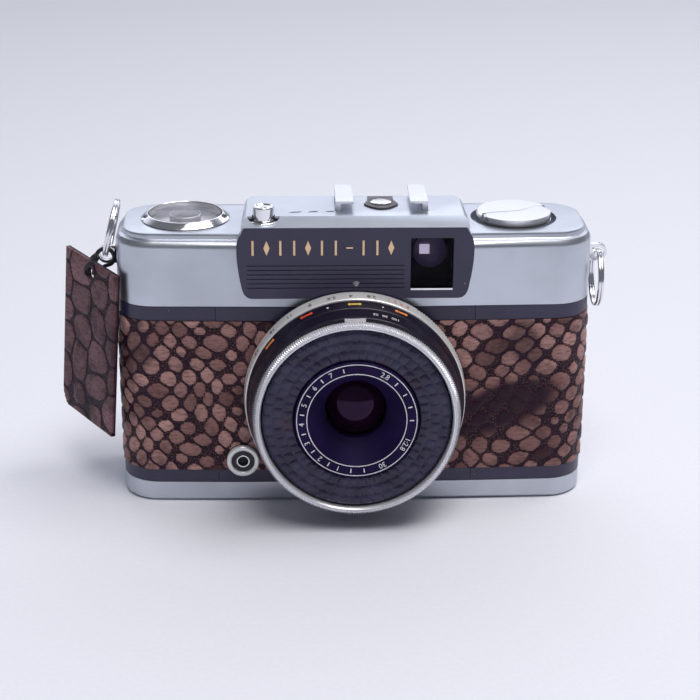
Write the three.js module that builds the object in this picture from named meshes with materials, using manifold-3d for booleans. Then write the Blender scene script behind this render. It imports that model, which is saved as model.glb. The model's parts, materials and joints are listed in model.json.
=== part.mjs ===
// Half frame camera: a metal 35 mm camera body with a ring-cell exposure meter
// round its lens, a hinged back, a hot shoe and a leather tag on its left lug.
// Millimetres, +Z up. The lens looks along -Y and stands over the origin, which
// lies on the underside of the bottom plate, half way through the body's depth.

import * as THREE from 'three';
import { mergeVertices } from 'three/addons/utils/BufferGeometryUtils.js';
import Module from 'manifold-3d';

const wasm = await Module();
wasm.setup();

// ---------------------------------------------------------------- driving sizes

const BODY_WIDTH = 110.8;
const BODY_DEPTH = 28;
const CORNER_RADIUS = 9;
const FRONT_BOW = 1.1; // how far the front falls back at 50 mm from the middle

const BOTTOM_PLATE_TOP = 5.04;
const CASTING_FOOT = 5.14;
const LEATHER_FOOT = 8.26;
const LEATHER_HEAD = 46.17;
const CASTING_HEAD = 49.55;
const COVER_FOOT = 49.65;
const SHOULDER = 63.5;
const PLATFORM = 66.7;
const HUMP_TOP = 70.9;

const LEATHER = 0.8; // thickness of the leather
const SEAT = 0.9; // how deep the leather is let into the body
const SKIN = 1.0; // thickness of the covers
const GAP = 0.1; // between pieces that are fixed to each other
const PLAY = 0.3; // between pieces that move past each other

const LENS_HEIGHT = 28.2;
const MOUNT_RADIUS = 20;
const RING_BORE = MOUNT_RADIUS + PLAY;
const CELL_BORE = 14.2;

const FRONT = -BODY_DEPTH / 2;
const BACK = BODY_DEPTH / 2;
const END = BODY_WIDTH / 2;

const DOOR_FACE = BACK - 1.6; // inside face of the back door
const RIM = DOOR_FACE - 0.2; // rear face of the casting
const FILM_PLANE = 10.2;
const HINGE = { x: -52.4, y: 12.6, radius: 1.4 };

const PANEL = { front: -15.5, back: -14.95, foot: 52.2, head: 69.05 };
const PLATE_EDGE = { left: -32.2, right: 27.9 }; // the seams of the front plate
const FINDER = { left: 12.6, right: 22.4, foot: 54.15, head: 66.65 };
const INDEX = { x: 0.2, z: 55.8 }; // the pin that marks the lens settings
const EYE_LENS = { x: 17.4, z: 61.6, radius: 4 };
const SOCKET = { x: -26.4, z: 11.1, radius: 3.87 };

const BUTTON = { x: -20.9, y: -11.4, radius: 2.42, head: 73.2 };
const COUNTER = { x: -39.4, y: 0.9 };
const REWIND = { x: 37.7, y: 0.6, radius: 8.85, well: 10.1, head: 68.3 };
const SPOOL = { x: -39.4, y: -0.6, radius: 7 };
const SPROCKET = { x: -20.8, y: 3.6, radius: 6.05 };
const THUMB = { x: -39.4, y: 3, radius: 12, foot: 50.5, head: 54.6 };
const SHOE = {
  left: -3.1, right: 15.6, front: -7.9, root: 3.2, back: 6.1, lip: 2.8, wall: 1.3, contact: -2.6,
};
const TRIPOD = { x: 18, y: 0 };
const LUG = { reach: 58.1, z: 58.2, half: 2.1, hole: 1.45, thick: 1.2 };
const SPLIT = { mean: 6.5, wide: 1.8, tall: 0.9, lean: 13 };
const TAG = { x: -61.7, y: -0.4, wide: 24.6, foot: 16.2, head: 56.6, thick: 1.4, turn: 56, lean: 4 };

const FINE = 44; // facets round a large ring
const PLAIN = 20; // facets round a small one

// ------------------------------------------------------------------- materials

const material = (color, roughness, metalness) =>
  new THREE.MeshStandardMaterial({ color, roughness, metalness });

const satin = () => material(0xb9bcc6, 0.38, 0.9);
const chrome = () => material(0xdcdde2, 0.15, 1);
const blackPaint = () => material(0x33343f, 0.45, 0.2);
const matteBlack = () => material(0x17171c, 0.7, 0.1);
const snakeskin = () => material(0x6d4c46, 0.5, 0);
const darkPlastic = () => material(0x1d1c22, 0.5, 0);
const steel = () => material(0x9b9ca2, 0.35, 0.9);
const glass = () => material(0x4a4460, 0.05, 0);
const clearPlastic = () => material(0xc9ccd6, 0.1, 0);

// ------------------------------------------------------------- solid modelling

// A closed geometry as a solid that can be cut and joined. A profile may be drawn
// either way round: a solid that comes out inside out is turned.
function solid(geometry) {
  const bare = geometry.clone();
  bare.deleteAttribute('normal');
  bare.deleteAttribute('uv');
  const welded = mergeVertices(bare, 1e-4);
  const vertProperties = new Float32Array(welded.attributes.position.array);
  const triVerts = new Uint32Array(welded.index.array);
  const shape = new wasm.Manifold(new wasm.Mesh({ numProp: 3, vertProperties, triVerts }));
  if (shape.volume() > 0) return shape;
  return new wasm.Manifold(new wasm.Mesh({ numProp: 3, vertProperties, triVerts: triVerts.reverse() }));
}

// A solid as a flat-shaded geometry.
function geometryOf(shape) {
  const mesh = shape.getMesh();
  const geometry = new THREE.BufferGeometry();
  geometry.setAttribute('position', new THREE.BufferAttribute(mesh.vertProperties, 3));
  geometry.setIndex(new THREE.BufferAttribute(mesh.triVerts, 1));
  const faceted = geometry.toNonIndexed();
  faceted.computeVertexNormals();
  return faceted;
}

function block(left, right, front, back, foot, head) {
  const geometry = new THREE.BoxGeometry(right - left, back - front, head - foot);
  geometry.translate((left + right) / 2, (front + back) / 2, (foot + head) / 2);
  return solid(geometry);
}

// An upright cylinder.
function drum(x, y, radius, foot, head, facets = PLAIN) {
  const geometry = new THREE.CylinderGeometry(radius, radius, head - foot, facets);
  geometry.rotateX(Math.PI / 2).translate(x, y, (foot + head) / 2);
  return solid(geometry);
}

// A cylinder along Y, over the lens axis unless told otherwise.
function bore(radius, front, back, facets = PLAIN, x = 0, z = LENS_HEIGHT) {
  const geometry = new THREE.CylinderGeometry(radius, radius, back - front, facets);
  geometry.translate(x, (front + back) / 2, z);
  return solid(geometry);
}

// A closed profile of [radius, height] points turned round an upright axis.
function turned(profile, x, y, facets = PLAIN) {
  const points = profile.map(([radius, height]) => new THREE.Vector2(radius, height));
  const geometry = new THREE.LatheGeometry(points, facets);
  geometry.rotateX(Math.PI / 2).translate(x, y, 0);
  return solid(geometry);
}

// A closed profile of [radius, y] points turned round an axis along Y.
function ringAlongY(profile, facets = FINE, x = 0, z = LENS_HEIGHT) {
  const points = profile.map(([radius, along]) => new THREE.Vector2(radius, along));
  const geometry = new THREE.LatheGeometry(points, facets);
  geometry.translate(x, 0, z);
  return solid(geometry);
}

// A flat outline drawn in X and Z, given thickness along Y.
function sheetXZ(outline, front, back, curveSegments = 8) {
  const settings = { depth: back - front, bevelEnabled: false, curveSegments };
  const geometry = new THREE.ExtrudeGeometry(outline, settings);
  geometry.rotateX(Math.PI / 2).translate(0, back, 0);
  return solid(geometry);
}

// A flat outline drawn in X and Y, given height along Z.
function sheetXY(outline, foot, head, curveSegments = 8) {
  const settings = { depth: head - foot, bevelEnabled: false, curveSegments };
  return solid(new THREE.ExtrudeGeometry(outline, settings).translate(0, 0, foot));
}

// A flat outline drawn in Y and Z, given width along X.
function sheetYZ(outline, left, right) {
  const settings = { depth: right - left, bevelEnabled: false };
  const geometry = new THREE.ExtrudeGeometry(outline, settings);
  geometry.rotateX(Math.PI / 2).rotateZ(Math.PI / 2).translate(left, 0, 0);
  return solid(geometry);
}

function polygon(points) {
  return new THREE.Shape(points.map(([u, v]) => new THREE.Vector2(u, v)));
}

function roundedRectangle(left, right, foot, head, radius) {
  const shape = new THREE.Shape();
  shape.absarc(right - radius, head - radius, radius, 0, Math.PI / 2);
  shape.absarc(left + radius, head - radius, radius, Math.PI / 2, Math.PI);
  shape.absarc(left + radius, foot + radius, radius, Math.PI, Math.PI * 1.5);
  shape.absarc(right - radius, foot + radius, radius, Math.PI * 1.5, Math.PI * 2);
  shape.closePath();
  return shape;
}

const joined = (...shapes) => shapes.reduce((sum, shape) => sum.add(shape));
const cut = (shape, ...cutters) => cutters.reduce((rest, cutter) => rest.subtract(cutter), shape);

// --------------------------------------------------------- the body's plan form

// The outline of the body seen from above, moved inwards by an inset.
function planOutline(inset) {
  const radius = CORNER_RADIUS - inset;
  const side = END - inset;
  const rear = BACK - inset;
  const turnX = side - radius;
  const fall = FRONT_BOW * (turnX / 50) ** 2;
  const front = FRONT + inset;
  const steps = 7;
  const points = [];
  const corner = (x, y, from) => {
    for (let step = 0; step <= steps; step += 1) {
      const angle = from + (Math.PI / 2) * (step / steps);
      points.push([x + radius * Math.cos(angle), y + radius * Math.sin(angle)]);
    }
  };
  corner(turnX, rear - radius, 0);
  corner(-turnX, rear - radius, Math.PI / 2);
  corner(-turnX, front + fall + radius, Math.PI);
  for (let step = 1; step < 10; step += 1) {
    const x = -turnX + 2 * turnX * (step / 10);
    points.push([x, front + FRONT_BOW * (x / 50) ** 2]);
  }
  corner(turnX, front + fall + radius, Math.PI * 1.5);
  return points;
}

// A solid that follows the plan outline through a list of [inset, height] levels.
function planSolid(levels) {
  const rings = levels.map(([inset, height]) =>
    planOutline(inset).map(([x, y]) => new THREE.Vector3(x, y, height)));
  const count = rings[0].length;
  const vertices = rings.flat();
  const flat = rings[0].map((point) => new THREE.Vector2(point.x, point.y));
  const lid = THREE.ShapeUtils.triangulateShape(flat, []);
  const top = (rings.length - 1) * count;
  const index = [];
  for (let level = 0; level < rings.length - 1; level += 1) {
    for (let corner = 0; corner < count; corner += 1) {
      const next = (corner + 1) % count;
      const low = level * count;
      const high = low + count;
      index.push(low + corner, low + next, high + next);
      index.push(low + corner, high + next, high + corner);
    }
  }
  lid.forEach(([a, b, c]) => {
    index.push(a, c, b);
    index.push(top + a, top + b, top + c);
  });
  const geometry = new THREE.BufferGeometry().setFromPoints(vertices);
  geometry.setIndex(index);
  return solid(geometry);
}

// ---------------------------------------------------------------- body castings

// The body between its covers: full width at the dark bands, set back between
// them where the leather lies.
const bodyBlock = planSolid([
  [0, CASTING_FOOT],
  [0, LEATHER_FOOT],
  [SEAT, LEATHER_FOOT + 0.01],
  [SEAT, LEATHER_HEAD - 0.01],
  [0, LEATHER_HEAD],
  [0, CASTING_HEAD],
]);

const plateBack = FRONT + 1.3;
const chamberFoot = 8.2;
const chamberHead = 46.4;

function bodyCasting() {
  const frameHalfWidth = 9;
  const frameHalfHeight = 12;
  const hingeBarrel = (radius, foot, head) => drum(HINGE.x, HINGE.y, radius, foot, head);
  const chamber = (at, radius) => joined(
    drum(at.x, at.y, radius, chamberFoot, chamberHead),
    block(at.x - radius, at.x + radius, at.y, BACK, chamberFoot, chamberHead),
  );
  const hollowed = cut(
    bodyBlock,
    block(-60, 60, RIM, BACK + 1, 0, 60),
    block(PLATE_EDGE.left - GAP, PLATE_EDGE.right + GAP, FRONT - 2, plateBack, 0, 60),
    block(-50.5, 50.5, 9.4, BACK, chamberFoot, chamberHead),
    chamber(REWIND, 12.1),
    chamber(SPOOL, 10.8),
    chamber(SPROCKET, 6.9),
    block(-12.2, 12.2, FRONT, 8.2, 13.4, 43),
    block(-frameHalfWidth, frameHalfWidth, 0, BACK,
      LENS_HEIGHT - frameHalfHeight, LENS_HEIGHT + frameHalfHeight),
    drum(REWIND.x, REWIND.y, 3.4, 40, 60, 24),
    drum(SPOOL.x, SPOOL.y, 1.9, 40, 60, 20),
    drum(SPROCKET.x, SPROCKET.y, 1.9, 0, 60, 20),
    hingeBarrel(HINGE.radius + PLAY, 0, 60),
    block(50, 60, 6, 8.2, 25, 37),
  );
  const rail = (foot) => block(-13.5, 20, 9.2, FILM_PLANE, foot, foot + 1.2);
  const knuckle = joined(
    hingeBarrel(HINGE.radius, 22, 33),
    block(HINGE.x, HINGE.x + 1.6, 10.7, HINGE.y, 22, 33),
  );
  const lowRail = LENS_HEIGHT - frameHalfHeight - 1.7;
  const highRail = LENS_HEIGHT + frameHalfHeight + 0.5;
  return cut(joined(hollowed, rail(lowRail), rail(highRail), knuckle), hingeBarrel(0.75, 0, 60));
}

function frontPlate() {
  const slab = bodyBlock.intersect(
    block(PLATE_EDGE.left, PLATE_EDGE.right, FRONT - 1, plateBack - GAP, 0, 60));
  return cut(slab, bore(15.4, FRONT - 2, FRONT + 3, 48),
    bore(2.7, FRONT - 2, FRONT + 3, 24, SOCKET.x, SOCKET.z));
}

function bottomPlate() {
  const outside = planSolid([[1.1, 0], [0.35, 0.3], [0, 1], [0, BOTTOM_PLATE_TOP]]);
  const inside = planSolid([[SKIN, 1.2], [SKIN, BOTTOM_PLATE_TOP + 1]]);
  return cut(outside, inside, drum(TRIPOD.x, TRIPOD.y, 5.1, -1, 2),
    drum(SPROCKET.x, SPROCKET.y, 2.6, -1, 2, 24));
}

function tripodBush() {
  return turned([
    [2.6, 0], [4.7, 0], [5, 0.25], [5, 1.3], [6.4, 1.3], [6.4, 2.2], [4.4, 2.2], [4.4, 4.9],
    [2.6, 4.9], [2.6, 0],
  ], TRIPOD.x, TRIPOD.y);
}

// -------------------------------------------------------------------- leather

const leatherFoot = LEATHER_FOOT + GAP;
const leatherHead = LEATHER_HEAD - GAP;

// One of the two front leathers: from the lens round the end to the rear rim.
function frontLeather(side) {
  const outside = planSolid([[-0.1, leatherFoot], [-0.1, leatherHead]]);
  const inside = planSolid([[LEATHER, leatherFoot - 1], [LEATHER, leatherHead + 1]]);
  const half = side < 0 ? block(-60, -8, -20, 10.4, 0, 60) : block(8, 60, -20, RIM - 0.2, 0, 60);
  return cut(
    outside.subtract(inside).intersect(half),
    bore(23.9, -20, 0, FINE),
    bore(SOCKET.radius + 0.15, -20, 0, PLAIN, SOCKET.x, SOCKET.z),
    drum(HINGE.x, HINGE.y, HINGE.radius + PLAY, 0, 60, 20),
    block(50, 60, 6, 8.2, 25, 37),
  );
}

// ------------------------------------------------------------------- top cover

// The raised middle of the cover, where the finder, the shoe and the button are.
function hump() {
  const side = polygon([
    [-12, 52.3], [-12, 60], [PANEL.back + GAP, 60], [PANEL.back + GAP, 69.15], [PANEL.front, 69.15],
    [PANEL.front, 69.35], [-11.95, HUMP_TOP], [4.2, HUMP_TOP], [10.8, 66], [10.8, 60], [-4, 56],
  ]);
  const brow = polygon([
    [-27, 50], [27, 50], [27, 66.5], [26.2, 69.3], [25.6, 70.5], [24.9, HUMP_TOP],
    [-24.9, HUMP_TOP], [-25.6, 70.5], [-26.2, 69.3], [-27, 66.5],
  ]);
  const plan = new THREE.Shape();
  plan.moveTo(-26, PANEL.front);
  plan.lineTo(26, PANEL.front);
  plan.lineTo(25.3, 0);
  plan.quadraticCurveTo(25, 3.6, 22.6, 4.6);
  plan.lineTo(20.5, 11);
  plan.lineTo(-20.5, 11);
  plan.lineTo(-22.6, 4.6);
  plan.quadraticCurveTo(-25, 3.6, -25.3, 0);
  plan.closePath();
  return sheetYZ(side, -30, 30)
    .intersect(sheetXZ(brow, -20, 20))
    .intersect(sheetXY(plan, 50, 75));
}

// The outline of the dark panel across the front of the hump.
function panelOutline(inset) {
  const top = 25.9 - inset;
  const wide = 27.1 - inset;
  const low = 26.1 - inset;
  const head = PANEL.head - inset;
  const foot = PANEL.foot + inset;
  const shape = new THREE.Shape();
  shape.moveTo(-low + 2.6, foot);
  shape.lineTo(low - 2.6, foot);
  shape.quadraticCurveTo(low - 0.4, foot, low, foot + 3);
  shape.quadraticCurveTo(wide, 60, wide, 63.8);
  shape.quadraticCurveTo(wide, 66.6, top + 0.1, head - 1.4);
  shape.quadraticCurveTo(top - 0.3, head, top - 1.6, head);
  shape.lineTo(-top + 1.6, head);
  shape.quadraticCurveTo(-top + 0.3, head, -top - 0.1, head - 1.4);
  shape.quadraticCurveTo(-wide, 66.6, -wide, 63.8);
  shape.quadraticCurveTo(-wide, 60, -low, foot + 3);
  shape.quadraticCurveTo(-low + 0.4, foot, -low + 2.6, foot);
  return shape;
}

function topCover() {
  const outside = planSolid([
    [0, COVER_FOOT], [0, SHOULDER], [0.22, 64.3], [0.75, 65], [1.5, 65.3],
    [1.6, 65.4], [1.6, 66.2], [1.75, 66.55], [2.1, PLATFORM],
  ]);
  const inside = planSolid([[SKIN, COVER_FOOT - 1], [SKIN, 62.6], [2.6, 64.4], [2.6, 65.7]]);
  const underHump = block(-24, 24, -11.8, 3.5, 60, 70);
  const boss = sheetXZ(panelOutline(0), PANEL.back + GAP, -12);
  const wellCup = drum(REWIND.x, REWIND.y, REWIND.well + 0.9, 63.2, 66, 48);
  const buttonPocket = BUTTON.radius + 1.38;
  const pocketFront = drum(BUTTON.x, BUTTON.y, buttonPocket, 68.2, 72)
    .intersect(block(-60, 60, -20, -12, 60, 80));
  const shell = cut(joined(outside, hump(), boss), inside, underHump);
  const eyepiece = roundedRectangle(11.4, 23.6, 52.4, 61.6, 1.5);
  return cut(
    joined(shell, wellCup),
    drum(REWIND.x, REWIND.y, REWIND.well, 64.2, 70, 48),
    drum(REWIND.x, REWIND.y, 2.5, 60, 70, 20),
    drum(COUNTER.x, COUNTER.y, 8.75, 64, 70, 48),
    pocketFront,
    drum(BUTTON.x, BUTTON.y, buttonPocket, 66, 70.25),
    drum(BUTTON.x, BUTTON.y, BUTTON.radius + 0.23, 60, 75),
    block(FINDER.left - 0.3, FINDER.right + 0.3, -20, -11, FINDER.foot - 0.3, FINDER.head + 0.3),
    sheetXZ(eyepiece, 10, 20),
    block(THUMB.x - 9.5, THUMB.x + 9.5, 8, 20, 40, THUMB.head + 0.6),
    block(SHOE.left - SHOE.wall - GAP, SHOE.left + GAP, SHOE.front - GAP, SHOE.root + GAP, 69, 72),
    block(SHOE.right - GAP, SHOE.right + SHOE.wall + GAP, SHOE.front - GAP, SHOE.root + GAP, 69, 72),
    drum((SHOE.left + SHOE.right) / 2, SHOE.contact, 1.4, 69, 72, 20),
  );
}

function frontPanel() {
  const grooves = [];
  for (let row = 0; row < 6; row += 1) {
    const height = 54.85 + row * 1.07;
    grooves.push(block(-24.7, 11.2, PANEL.front - 1, PANEL.front + 0.25, height - 0.17, height + 0.17));
  }
  return cut(
    sheetXZ(panelOutline(0), PANEL.front, PANEL.back),
    ...grooves,
    sheetXZ(finderOutline(0, 0.4), -20, 0, 3),
    bore(0.75, -20, 0, 16, INDEX.x, INDEX.z),
  );
}

const indexPin = () => bore(0.6, PANEL.front - 0.1, PANEL.back, 16, INDEX.x, INDEX.z);

// ---------------------------------------------------------------- viewfinder

// The outline of the finder's window opening, moved inwards by an inset.
function finderOutline(inset, radius) {
  const { left, right, foot, head } = FINDER;
  return roundedRectangle(left + inset, right - inset, foot + inset, head - inset, radius);
}

function finderTube() {
  const outer = finderOutline(-0.1, 0.6);
  const inner = finderOutline(0.5, 0.4);
  const bulkhead = sheetXZ(outer, -9.4, -8.4, 3);
  const walls = sheetXZ(outer, -14.1, -8.4, 3).subtract(sheetXZ(inner, -15, 12, 3));
  const lensSeat = bore(EYE_LENS.radius + GAP, -20, 12, 24, EYE_LENS.x, EYE_LENS.z);
  return joined(walls, bulkhead).subtract(lensSeat);
}

const finderWindow = () => sheetXZ(finderOutline(GAP, 0.4), -14.85, -14.25, 3);

function roundLens(radius, front, back, bulge, x, z, facets = 24) {
  return ringAlongY([
    [0, front - bulge], [radius * 0.5, front - bulge * 0.75], [radius * 0.85, front - bulge * 0.28],
    [radius, front], [radius, back], [0, back],
  ], facets, x, z);
}

function eyepieceFrame() {
  const outer = roundedRectangle(11.5, 23.5, 52.5, 61.5, 1.4);
  const inner = roundedRectangle(13.3, 21.7, 54.2, 59.8, 0.8);
  return sheetXZ(outer, 11.6, 15.1, 4).subtract(sheetXZ(inner, 10, 20, 4));
}

const eyepieceLens = () => sheetXZ(roundedRectangle(13.4, 21.6, 54.3, 59.7, 0.7), 12.2, 14.2, 4);

// ------------------------------------------------------------- top furniture

function hotShoe() {
  const { left, right, front, root, back, lip, wall } = SHOE;
  const base = block(left - wall, right + wall, front, root, 69.1, 69.9);
  const railHead = 73.1;
  const lipFoot = 72.5;
  const leftRail = joined(
    block(left - wall, left, front, root, 69.5, railHead),
    block(left - wall, left, front, back, 71.1, railHead),
    block(left - wall, left + lip, front, back, lipFoot, railHead),
  );
  const rightRail = joined(
    block(right, right + wall, front, root, 69.5, railHead),
    block(right, right + wall, front, back, 71.1, railHead),
    block(right - lip, right + wall, front, back, lipFoot, railHead),
  );
  const middle = (left + right) / 2;
  return joined(base, leftRail, rightRail).subtract(drum(middle, SHOE.contact, 1.7, 60, 80, 20));
}

function shoeInsulator() {
  const middle = (SHOE.left + SHOE.right) / 2;
  const outline = new THREE.Shape();
  outline.moveTo(middle - 3, 2.5);
  outline.lineTo(middle - 3, -0.6);
  outline.lineTo(middle - 4, -3.6);
  outline.quadraticCurveTo(middle, -10.6, middle + 4, -3.6);
  outline.lineTo(middle + 3, -0.6);
  outline.lineTo(middle + 3, 2.5);
  return sheetXY(outline, HUMP_TOP + GAP, HUMP_TOP + 0.4)
    .subtract(drum(middle, SHOE.contact, 1.4, 60, 80, 20));
}

function shoeContact() {
  const middle = (SHOE.left + SHOE.right) / 2;
  const button = HUMP_TOP + 0.5;
  return turned([
    [0, 68.6], [1.15, 68.6], [1.15, button], [2.5, button], [2.5, button + 0.15],
    [1.9, button + 0.3], [0, button + 0.3],
  ], middle, SHOE.contact, 28);
}

function shutterButton() {
  const { radius, head } = BUTTON;
  return turned([
    [0, 70.4], [0.8, 70.4], [0.8, head - 0.55], [1.7, head - 0.35], [2.15, head],
    [radius - 0.1, head - 0.05], [radius, head - 0.3], [radius, 67], [0, 67],
  ], BUTTON.x, BUTTON.y);
}

function buttonCollar() {
  return turned([
    [2.7, 69.2], [3.65, 69.2], [3.65, 69.85], [3.5, 70], [2.85, 70], [2.7, 69.9], [2.7, 69.2],
  ], BUTTON.x, BUTTON.y);
}

function counterRing() {
  const foot = PLATFORM + GAP;
  const head = 68.15;
  const ring = turned([
    [8.65, foot], [10.4, foot], [10.4, foot + 0.15], [9, head], [8.75, head],
    [8.65, head - 0.1], [8.65, foot],
  ], COUNTER.x, COUNTER.y, 36);
  const slot = (side) => block(COUNTER.x + side * 9.55 - 0.75, COUNTER.x + side * 9.55 + 0.75,
    COUNTER.y - 2.6, COUNTER.y - 1.3, 67.1, 69);
  return cut(ring, slot(-1), slot(1));
}

function counterWindow() {
  const profile = [[0, 67.85], [8.5, 67.85], [8.5, 68.1], [0, 68.2]];
  return turned(profile, COUNTER.x, COUNTER.y, 36);
}

// The numbered disc turns, and its raised hub with it.
function counterDial() {
  return turned([
    [0, 62], [1.5, 62], [1.5, 65.5], [8.35, 65.5], [8.35, 65.9], [3.64, 65.9],
    [3.64, 67.5], [3.4, 67.6], [0, 67.6],
  ], COUNTER.x, COUNTER.y, 36);
}

// ------------------------------------------------------------------- rewinding

// The line that parts the folding crank from the fixed half of the knob's top.
function crankOutline(inset) {
  const rim = REWIND.radius - 0.15 - inset;
  const shape = new THREE.Shape();
  shape.moveTo(-6.9, -2.6 - inset);
  shape.bezierCurveTo(-3, -0.4 - inset, 0.5, -1.4 - inset, 2.6, 0.5 - inset);
  shape.bezierCurveTo(4.2, 2, 5, 3.4, 6.9 - inset, 3.9 - inset);
  const from = Math.atan2(-0.4, rim);
  const to = Math.atan2(-4.9, -6.9);
  shape.absarc(0, 0, rim, from, to, true);
  shape.closePath();
  return shape;
}

const crankAxis = { x: REWIND.x - 6.9, z: 67.5, radius: 0.72 };
const crankFoot = 66.8;

function placedSheet(outline, foot, head) {
  return sheetXY(outline, foot, head, 12).translate([REWIND.x, REWIND.y, 0]);
}

function rewindKnob() {
  const { x, y, radius, head } = REWIND;
  const profile = [[0, 64.5], [radius, 64.5], [radius, head - 0.3], [radius - 0.3, head], [0, head]];
  const disc = turned(profile, x, y, 36);
  const crankSpace = placedSheet(crankOutline(-0.25), crankFoot - 0.25, head + 1);
  const outside = drum(x, y, radius + 2, crankFoot - 0.25, head + 1);
  const frontRim = outside.intersect(block(x - 6.9, x + 8.4, y - 12, y - 2, 60, 72))
    .subtract(drum(x, y, radius - 0.6, 60, 72, 56));
  const knuckleSpace = bore(1.15, y - 8, y - 2.2, 20, crankAxis.x, crankAxis.z);
  const thumbNotch = block(x + 6.6, x + 10, y - 0.6, y + 3.8, crankFoot + 0.2, head + 1);
  return cut(disc, crankSpace, frontRim, knuckleSpace, thumbNotch);
}

function rewindCrank() {
  const lever = placedSheet(crankOutline(0), crankFoot, REWIND.head)
    .intersect(block(crankAxis.x, 60, -20, 20, 60, 80));
  const { radius, x, z } = crankAxis;
  const knuckle = bore(radius, REWIND.y - 4.8, REWIND.y - 2.7, 20, x, z);
  const pinHole = bore(0.42, -20, 20, 12, x, z);
  return cut(joined(lever, knuckle), pinHole);
}

const crankPin = () => bore(0.3, REWIND.y - 5.1, REWIND.y - 2.4, 12, crankAxis.x, crankAxis.z);

function rewindShaft() {
  const { x, y } = REWIND;
  const stem = drum(x, y, 2, 44, 64.4, 24);
  const blade = block(x - 1, x + 1, y - 2.9, y + 2.9, 40.8, 44.6);
  return joined(stem, blade).subtract(block(x - 2, x + 2, y - 0.8, y + 0.8, 40, 43.6));
}

function rewindBush() {
  const profile = [[2.3, 54], [3.6, 54], [3.6, 57], [2.3, 57], [2.3, 54]];
  return turned(profile, REWIND.x, REWIND.y, 24);
}

// ---------------------------------------------------------------- film advance

function advanceWheel() {
  const { x, y, radius, foot, head } = THUMB;
  return turned([
    [1.6, foot], [radius - 0.4, foot], [radius, foot + 0.5], [radius, head - 0.5],
    [radius - 0.4, head], [1.6, head], [1.6, foot],
  ], x, y, 32);
}

function takeUpSpool() {
  const { x, y, radius } = SPOOL;
  return turned([
    [0, 9], [9.6, 9], [9.6, 10.2], [radius, 10.2], [radius, 43.4], [9.6, 43.4],
    [9.6, 44.6], [1.5, 44.6], [1.5, 49.2], [0, 49.2],
  ], x, y).subtract(block(x - 0.6, x + 0.6, y, y + 10, 14, 40));
}

function filmSprocket() {
  const { x, y, radius } = SPROCKET;
  const spindle = turned([
    [0, 7], [1.5, 7], [1.5, 9], [radius - 0.2, 9], [radius - 0.2, 13.6], [3.6, 14], [3.6, 40.4],
    [radius - 0.2, 40.8], [radius - 0.2, 45], [1.5, 45], [1.5, 49.2], [0, 49.2],
  ], x, y);
  const teeth = [];
  const count = 8;
  for (let tooth = 0; tooth < count; tooth += 1) {
    for (const height of [11.4, 43]) {
      const peg = new THREE.BoxGeometry(1.4, 1.2, 1.4).translate(radius - 0.2, 0, height);
      peg.rotateZ((tooth / count) * Math.PI * 2).translate(x, y, 0);
      teeth.push(solid(peg));
    }
  }
  return joined(spindle, ...teeth);
}

function rewindRelease() {
  return turned([
    [0, 0.3], [1.7, 0.3], [2.2, 0.6], [2.2, 2], [2.9, 2], [2.9, 2.8], [1.2, 2.8],
    [1.2, 4.4], [0, 4.4],
  ], SPROCKET.x, SPROCKET.y, 24);
}

// ------------------------------------------------------------------- back door

function backDoor() {
  const shellBlock = planSolid([[0, CASTING_FOOT + 0.1], [0, CASTING_HEAD - 0.1]]);
  const slab = shellBlock.intersect(block(-60, 60, DOOR_FACE, BACK + 1, 0, 60));
  const knuckles = joined(
    drum(HINGE.x, HINGE.y, HINGE.radius, 8, 21.7, 20),
    drum(HINGE.x, HINGE.y, HINGE.radius, 33.3, 47, 20),
  );
  const webs = joined(
    block(HINGE.x, -49, DOOR_FACE, HINGE.y + 1.2, 8, 21.7),
    block(HINGE.x, -49, DOOR_FACE, HINGE.y + 1.2, 33.3, 47),
  );
  const knuckleSpace = drum(HINGE.x, HINGE.y, HINGE.radius + PLAY, 0, 60, 20)
    .intersect(block(-60, -40, 0, 20, 21.7, 33.3));
  const leatherSeat = block(-46.5, 46.5, BACK - SEAT, BACK + 1, leatherFoot - GAP, leatherHead + GAP);
  return cut(joined(slab, webs, knuckles), knuckleSpace, leatherSeat,
    drum(HINGE.x, HINGE.y, 0.75, 0, 60, 16));
}

const backLeather = () => block(-46.4, 46.4, BACK - LEATHER, BACK + 0.1, leatherFoot, leatherHead);

const hingePin = () => drum(HINGE.x, HINGE.y, 0.5, 7.4, 47.6, 16);

function pressurePlate() {
  const outline = roundedRectangle(-14, 18, 13.6, 42.8, 1.5);
  return sheetXZ(outline, FILM_PLANE + 0.3, FILM_PLANE + 1, 4);
}

// A bowed leaf behind the pressure plate, fixed to the door at its middle.
function pressureSpring() {
  const leaf = polygon([
    [-9, 11.62], [-6, 11.8], [-1, 12], [5, 12], [10, 11.8], [13, 11.62],
    [13, 11.86], [10, 12.05], [5, 12.25], [-1, 12.25], [-6, 12.05], [-9, 11.86],
  ]);
  return sheetXY(leaf, 24, 32);
}

const lightSeal = () => block(45.5, 49.5, 11.6, DOOR_FACE - GAP, 9.5, 45);

function doorLatch() {
  return joined(
    block(END + 0.35, END + 1.5, 5.2, 9, 27.4, 34),
    block(END - 4.4, END + 0.6, 6.3, 7.9, 28, 33.4),
  );
}

// ---------------------------------------------------------------- flash socket

function socketRing() {
  const { x, z, radius } = SOCKET;
  return ringAlongY([
    [2.72, -14.1], [radius, -14.1], [radius, -15.1], [radius - 0.25, -15.35],
    [2.9, -15.35], [2.72, -15.2], [2.72, -14.1],
  ], 20, x, z);
}

function socketInsulator() {
  const { x, z } = SOCKET;
  const profile = [[1.65, -14.9], [1.65, -12.8], [2.6, -12.8], [2.6, -14.9], [1.65, -14.9]];
  return ringAlongY(profile, 20, x, z);
}

function socketSleeve() {
  const { x, z } = SOCKET;
  return ringAlongY([
    [0, -13.4], [1.2, -13.4], [1.2, -15.1], [1.55, -15.1], [1.55, -12.8], [0, -12.8],
  ], 20, x, z);
}

// ------------------------------------------------------------------------ lens

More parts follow.
